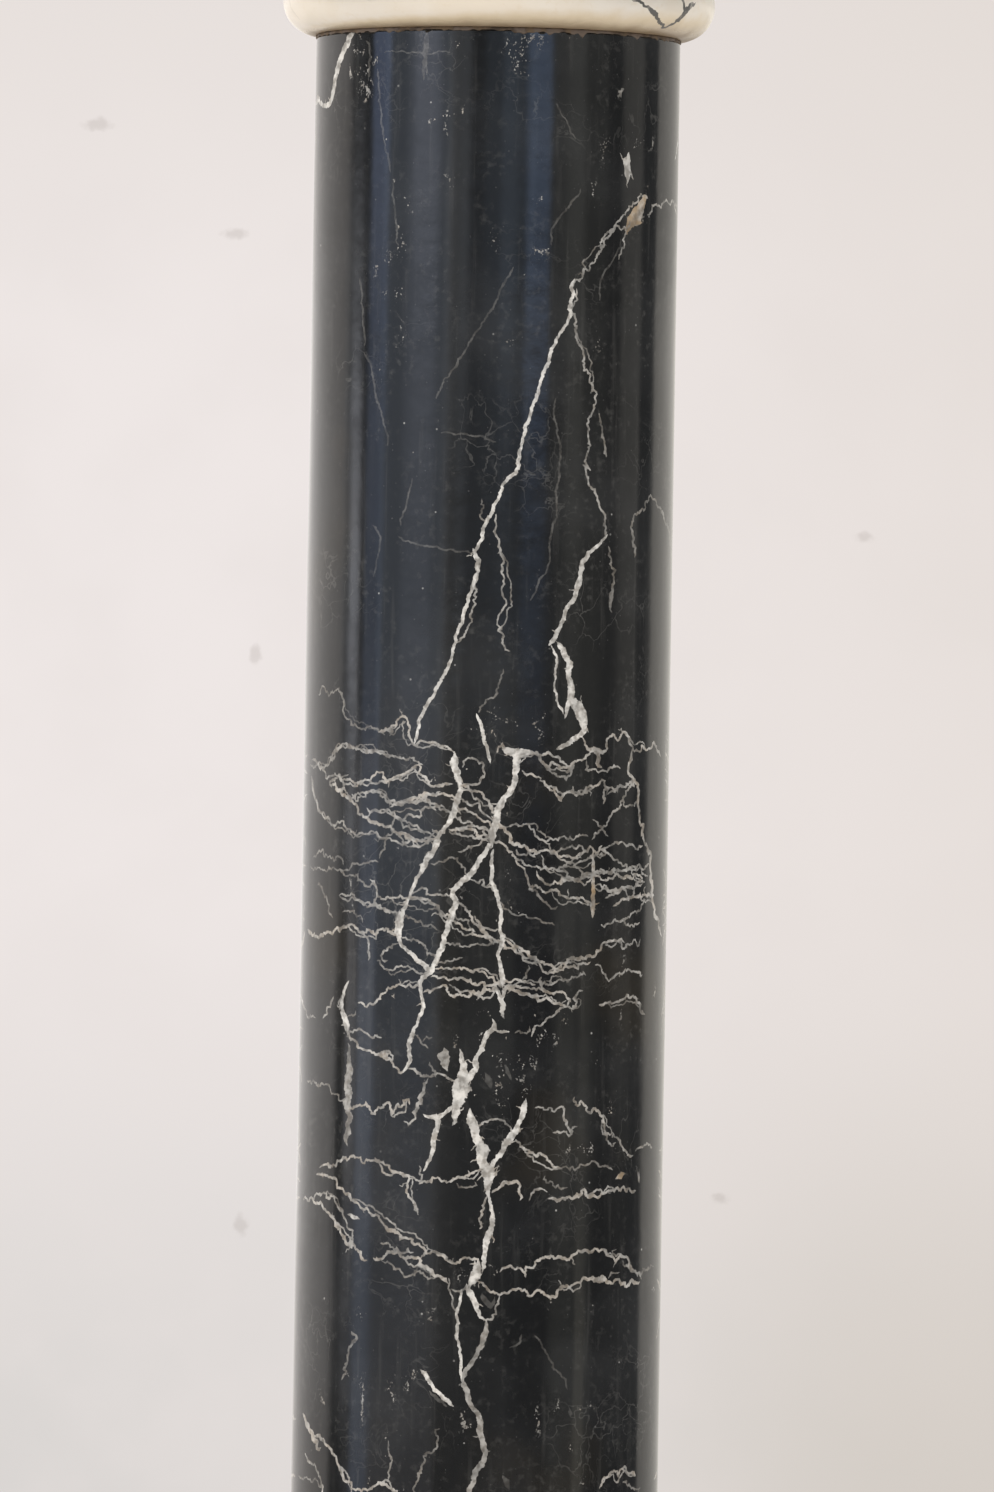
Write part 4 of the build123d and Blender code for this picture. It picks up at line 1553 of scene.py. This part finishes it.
@dataclass
class ResinBed(Turning):
    """A bed of brown resin that has squeezed out a little all round its joint.

    Its lumps are given by their middle and half width in degrees, and by how far they hang and bulge in
    millimetres.
    """

    node: str = "collar_bed"
    rim: float = 0.0799
    swell: float = 0.3 * MM
    sag: float = 0.55 * MM
    residue: float = 0.5
    seed: int = 3
    columns: int = 480
    tuck: float = 1.2 * MM
    lumps: tuple = ((7, 2.4, 0.9, 0.25), (12, 1.6, 0.4, 0.15), (17, 3.0, 0.9, 0.25), (24, 1.5, 0.7, 0.1),
                    (27, 1.0, 1.5, 0.1), (-13, 1.5, 0.5, 0.2), (-36, 2.0, 0.6, 0.2), (48, 1.6, 0.8, 0.2),
                    (-118, 2.2, 1.4, 0.3), (150, 1.8, 1.0, 0.2))

    def ripple(self, rng: random.Random, waves: tuple) -> list[float]:
        """An uneven value round the joint, mostly between -1 and 1.

        Args:
            rng: Source of the waves' phases.
            waves: How many times each wave goes round.

        Returns:
            One value for each column.
        """
        phases = [rng.uniform(0, 2 * math.pi) for _ in waves]
        turns = [2 * math.pi * column / self.columns for column in range(self.columns)]
        share = 1.6 / math.sqrt(len(waves))
        return [share * sum(math.sin(wave * turn + phase) for wave, phase in zip(waves, phases))
                for turn in turns]

    def build(self, resin: bpy.types.Material) -> None:
        """Builds and dresses the bed."""
        rng = random.Random(self.seed)
        swelling = self.ripple(rng, (11, 23, 37, 59, 83, 109))
        sagging = self.ripple(rng, (7, 19, 43, 67, 97, 131))
        crusting = self.ripple(rng, (4, 9, 19, 31, 47))
        place = []
        marks = []
        for column in range(self.columns):
            turn = 2 * math.pi * column / self.columns
            out = self.rim + self.swell * max(0.1, 0.5 + 0.5 * swelling[column])
            drop = self.sag * max(0.1, 0.5 + 0.7 * sagging[column])
            crust = self.residue * max(0.0, 0.6 + 0.7 * crusting[column])
            for middle, half, hang, bulge in self.lumps:
                off = abs((math.degrees(turn) - middle + 180) % 360 - 180) / half
                share = math.exp(-off * off)
                drop += hang * MM * share
                out += bulge * MM * share
                crust = max(crust, 0.9 * share)
            section = ((self.bore, self.foot), (self.rim - self.tuck, self.foot),
                       (self.rim + 0.05 * MM, self.foot - drop), (out, self.foot - 0.55 * drop),
                       (out + 0.06 * MM, (self.foot + self.head) / 2), (out - 0.1 * MM, self.head),
                       (self.rim - self.tuck, self.head), (self.bore, self.head))
            place += [(r * math.sin(turn), -r * math.cos(turn), z) for r, z in section]
            marks += [(crust if z < self.head - 0.1 * MM else 0.3 * crust, 0.0, 0.0, 0.0) for _, z in section]
        deep = len(section)
        faces = []
        for column in range(self.columns):
            here = column * deep
            beside = (column + 1) % self.columns * deep
            for row in range(deep):
                over = (row + 1) % deep
                faces.append((here + row, beside + row, beside + over, here + over))
        mesh = bpy.data.meshes.new(self.node + "_resin")
        mesh.from_pydata(place, [], faces)
        mesh.attributes.new("vein", "FLOAT_COLOR", "POINT").data.foreach_set("color", np.ravel(marks))
        mesh.polygons.foreach_set("use_smooth", [True] * len(faces))
        self.keep(placed(mesh.name, mesh), "brown_resin", resin)


@dataclass
class FramePiece:
    """A piece whose solid in the frame has the right shape and only needs its finish."""

    node: str

    def dress(self, frame: dict, material: bpy.types.Material) -> None:
        """Gives the node its finish."""
        piece = frame["nodes"][self.node]
        piece.data.materials.clear()
        piece.data.materials.append(material)
        LOG.info("%s: kept from the frame", self.node)


@dataclass
class Eye:
    """The camera, which stands where the photographer stood."""

    long_side: float = 1492.0
    sensor: float = 36.0
    pitch: float = -0.639
    turn: float = -0.062
    roll: float = 0.96

    def place(self) -> None:
        """Makes the scene's camera."""
        data = bpy.data.cameras.new("eye")
        data.sensor_width = self.sensor
        data.lens = PHOTO.focal_pixels / self.long_side * self.sensor
        data.clip_end = 60.0
        eye = placed("eye", data)
        turn = Matrix.Rotation(math.radians(self.turn), 4, "Z")
        pitch = Matrix.Rotation(math.radians(90 + self.pitch), 4, "X")
        roll = Matrix.Rotation(math.radians(self.roll), 4, "Z")
        spot = Matrix.Translation((0.0, -PHOTO.eye_distance, PHOTO.eye_height))
        eye.matrix_world = spot @ turn @ pitch @ roll
        bpy.context.scene.camera = eye


@dataclass(frozen=True)
class Panel:
    """Something bright round the column that its polish reflects.

    Its place is given as seen from the column: degrees round it, 0 at the camera and growing to the right,
    and the slopes of the lines of sight to its lower and upper end.
    """

    middle: float
    half: float
    soft: float
    colour: Colour
    low: float = -1.0
    high: float = 1.0


PANELS = (
    Panel(-148, 38, 9, (0.86, 0.80, 0.76)),
    Panel(-150, 40, 9, (0.24, 0.24, 0.24), -0.062, 0.040),
    Panel(-103, 3, 3, (0.35, 0.36, 0.38), -0.020, 0.041),
    Panel(-103, 3, 3, (0.40, 0.41, 0.44), 0.021, 0.041),
    Panel(-94.5, 3.0, 2.5, (2.7, 2.75, 3.0), -0.004, 0.023),
    Panel(-97, 3.0, 2.5, (0.9, 0.92, 1.0), -0.010, 0.041),
    Panel(-91.5, 3.0, 2.5, (1.7, 1.7, 1.8), -0.062, -0.034),
    Panel(-90, 2.5, 2.5, (0.6, 0.6, 0.65), -0.034, -0.010),
    Panel(-79, 5.0, 4, (0.45, 0.55, 0.78)),
    Panel(-78, 5.0, 4, (0.45, 0.58, 0.98), 0.041, 1.0),
    Panel(-80, 3.5, 4, (1.5, 1.6, 1.75), -0.064, -0.034),
    Panel(-79, 5.0, 4, (0.30, 0.30, 0.34), -0.034, -0.010),
    Panel(-50, 21, 5, (0.35, 0.34, 0.35)),
    Panel(-52, 20, 6, (0.24, 0.34, 0.48), -0.050, 1.0),
    Panel(-48, 7, 6, (0.30, 0.32, 0.40), -0.012, 1.0),
    Panel(-44, 6, 6, (0.90, 0.95, 1.15), 0.043, 1.0),
    Panel(-24, 5, 5, (0.60, 0.63, 0.67), 0.013, 1.0),
    Panel(-24, 7, 5, (0.30, 0.28, 0.22), -0.060, -0.012),
    Panel(-5, 14, 6, (0.36, 0.44, 0.58), 0.013, 0.043),
    Panel(3, 13, 6, (0.22, 0.22, 0.20), -0.060, 0.0),
    Panel(4, 8, 6, (0.20, 0.26, 0.34), 0.040, 1.0),
    Panel(27, 6, 3.5, (0.50, 0.70, 1.15), 0.028, 1.0),
    Panel(28, 5, 3, (0.35, 0.45, 0.60), 0.043, 1.0),
    Panel(14, 8, 5, (0.28, 0.36, 0.48), 0.028, 1.0),
    Panel(46, 9, 5, (0.36, 0.36, 0.34), 0.028, 1.0),
    Panel(60, 12, 6, (0.16, 0.16, 0.14)),
    Panel(54, 4, 4, (0.22, 0.21, 0.18), -0.060, 0.040),
    Panel(67, 2.5, 2.5, (0.42, 0.39, 0.32), -1.0, -0.036),
    Panel(80, 4, 3, (0.40, 0.38, 0.34), 0.006, 0.022),
    Panel(97, 7, 5, (0.40, 0.38, 0.34), -0.036, 1.0),
    Panel(158, 32, 5, (0.62, 0.58, 0.52)),
    Panel(156, 33, 5, (0.22, 0.21, 0.19), -0.064, 0.038),
)


@dataclass
class Studio:
    """A plain pale room: floor, soft lamps and what the stones reflect.

    The marks on the wall are given in pixels: column, row, half width and half height.
    """

    wall: Colour = (0.855, 0.799, 0.783)
    high_wall: Colour = (0.799, 0.745, 0.716)
    shaded_wall: Colour = (0.745, 0.685, 0.640)
    # Painted shade at the wall's lower right corner.
    shaded_corner_wall: Colour = (0.60, 0.55, 0.49)
    low_wall: Colour = (0.694, 0.665, 0.645)
    blotched_wall: Colour = (0.800, 0.745, 0.725)
    mark: Colour = (0.42, 0.37, 0.34)
    wall_marks: tuple = ((90, 131, 17, 7), (228, 238, 15, 6), (862, 531, 10, 6), (256, 657, 8, 10),
                         (250, 1230, 9, 11), (730, 1195, 10, 6))
    dim_room: Colour = (0.15, 0.155, 0.155)
    light_above: Colour = (0.98, 0.97, 0.95)
    light_below: Colour = (0.52, 0.51, 0.49)
    floor_colour: Colour = (0.70, 0.672, 0.652)
    floor_radius: float = 2.6
    floor_sides: int = 96
    panel_blur: float = 0.006
    key_power: float = 36.0
    fill_power: float = 12.0
    lamp_size: float = 1.6
    lit_height: float = 0.6

    def room(self) -> None:
        """Makes the world: one look for the camera, one for reflections and an even light for the rest."""
        world = bpy.data.worlds.new("room")
        bpy.context.scene.world = world
        mix = Recipe(world, "Generated")
        axes = mix.add("ShaderNodeSeparateXYZ")
        mix.feed(axes.inputs[0], mix.place)
        x, y, z = axes.outputs
        steep = mix.span(mix.maths("ABSOLUTE", z), 0.45, 0.85)
        mirrored = mix.mixed(steep, self._mirrored(mix, x, y, z), self.wall)
        path = mix.add("ShaderNodeLightPath")
        even = mix.mixed(mix.span(z, -1.0, 1.0), self.light_below, self.light_above)
        colour = mix.mixed(path.outputs["Is Glossy Ray"], even, mirrored)
        colour = mix.mixed(path.outputs["Is Camera Ray"], colour, self._seen(mix, x, y, z))
        mix.dress("Color", colour)

    def _mirrored(self, mix: Recipe, x: object, y: object, z: object) -> object:
        """What the polish reflects: a dim room with its bright panels."""
        turn = mix.times(mix.maths("ARCTAN2", x, mix.times(y, -1.0)), 180 / math.pi)
        colour = mix.mixed(0.0, self.dim_room, self.dim_room)
        for panel in PANELS:
            off = mix.maths("ABSOLUTE", mix.maths("SUBTRACT", turn, float(panel.middle)))
            share = mix.span(off, panel.half, panel.half + panel.soft, 1.0, 0.0)
            for bound, under, over in ((panel.low, 0.0, 1.0), (panel.high, 1.0, 0.0)):
                if abs(bound) < 1:
                    end = mix.span(z, bound - self.panel_blur, bound + self.panel_blur, under, over)
                    share = mix.times(share, end)
            colour = mix.mixed(share, colour, panel.colour, "ADD")
        return colour

    def _seen(self, mix: Recipe, x: object, y: object, z: object) -> object:
        """The wall behind the column as the camera sees it, with its soft blotches, few marks, and painted
        shade towards its right and lower right corner.
        """
        wall = mix.mixed(mix.span(z, -0.095, -0.02), self.low_wall, self.wall)
        wall = mix.mixed(mix.span(z, 0.025, 0.075), wall, self.high_wall)
        blotch = mix.span(mix.noise(42.0, 4.0), 0.35, 0.7, 0.0, 0.5)
        wall = mix.mixed(blotch, wall, self.blotched_wall)
        right = mix.times(mix.maths("DIVIDE", x, y), PHOTO.focal_pixels)
        rise = mix.times(mix.maths("DIVIDE", z, y), PHOTO.focal_pixels)
        # Painted shade: the wall darkens towards the right, and more towards its lower right corner.
        wall = mix.mixed(mix.span(right, -150.0, 600.0, 0.0, 0.5), wall, self.shaded_wall)
        corner = mix.times(mix.span(right, 50.0, 450.0), mix.span(z, -0.09, -0.03, 0.5, 0.0))
        wall = mix.mixed(corner, wall, self.shaded_corner_wall)
        frayed = mix.maths("MULTIPLY_ADD", mix.noise(900.0, 4.0), 1.6, -0.8)
        for column, row, width, height in self.wall_marks:
            middle = column - PHOTO.axis_at_top + PHOTO.axis_lean * PHOTO.eye_row
            across = mix.maths("DIVIDE", mix.maths("SUBTRACT", right, middle), width)
            up = mix.maths("DIVIDE", mix.maths("SUBTRACT", rise, PHOTO.eye_row - row), height)
            away = mix.maths("SQRT", mix.maths("ADD", mix.times(across, across),
                                                 mix.times(up, up)))
            share = mix.span(mix.maths("ADD", away, frayed), 0.3, 1.2, 0.3, 0.0)
            wall = mix.mixed(share, wall, self.mark)
        return wall

    def floor(self) -> None:
        """Makes the pale floor."""
        turns = [2 * math.pi * side / self.floor_sides for side in range(self.floor_sides)]
        rim = [(self.floor_radius * math.cos(t), self.floor_radius * math.sin(t), 0.0) for t in turns]
        mesh = bpy.data.meshes.new("floor")
        mesh.from_pydata(rim, [], [tuple(range(self.floor_sides))])
        mix = Recipe(bpy.data.materials.new("pale_floor"))
        tint = mix.span(mix.noise(3.0, 3.0), 0.3, 0.7, 0.0, 0.5)
        mix.dress("Base Color", mix.mixed(tint, self.floor_colour, self.low_wall))
        mix.dress("Roughness", 0.9)
        mesh.materials.append(mix.owner)
        placed("floor", mesh)

    def lamp(self, name: str, spot: tuple, power: float, tint: Colour) -> None:
        """Hangs one soft lamp that points at the column.

        Args:
            name: Its name.
            spot: Where it hangs.
            power: Its power in watts.
            tint: Its colour.
        """
        data = bpy.data.lights.new(name, "AREA")
        data.energy = power
        data.size = self.lamp_size
        data.color = tint
        lamp = placed(name, data)
        lamp.location = spot
        aim = Vector((0.0, 0.0, self.lit_height)) - Vector(spot)
        lamp.rotation_euler = aim.to_track_quat("-Z", "Y").to_euler()
        lamp.visible_glossy = False

    def build(self) -> None:
        """Sets up the room, the floor and the lamps."""
        self.room()
        self.floor()
        self.lamp("key", (-2.7, -1.7, 1.8), self.key_power, (1.0, 0.985, 0.96))
        self.lamp("fill", (2.2, -1.6, 1.5), self.fill_power, (0.96, 0.98, 1.0))
        bpy.context.scene.view_settings.view_transform = "Standard"


def main() -> None:
    """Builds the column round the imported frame."""
    logging.basicConfig(level=logging.INFO, format="%(message)s")
    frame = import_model()
    Eye().place()
    Studio().build()
    black = BlackMarble().mixed_stone()
    black_block = BlackMarble(name="black_marble_block", drawn=False).mixed_stone()
    ivory = IvoryMarble().mixed_stone()
    resin = BrownResin().mixed_resin()
    iron = DowelIron().mixed_iron()
    Shaft().build(black)
    Ring().build(ivory)
    Ring(node="base_ring", seed=11, photographed=False).build(ivory)
    ResinBed().build(resin)
    ResinBed(node="foot_bed", rim=0.0809, sag=0.0, lumps=(), seed=4).build(resin)
    ResinBed(node="plinth_bed", rim=0.0809, sag=0.0, lumps=(), seed=5).build(resin)
    ResinBed(node="cap_bed", sag=0.0, lumps=(), seed=6).build(resin)
    for node in ("plinth", "cap_slab"):
        FramePiece(node).dress(frame, black_block)
    for node in ("base_dowel", "cap_dowel"):
        FramePiece(node).dress(frame, iron)


if __name__ == "__main__":
    main()
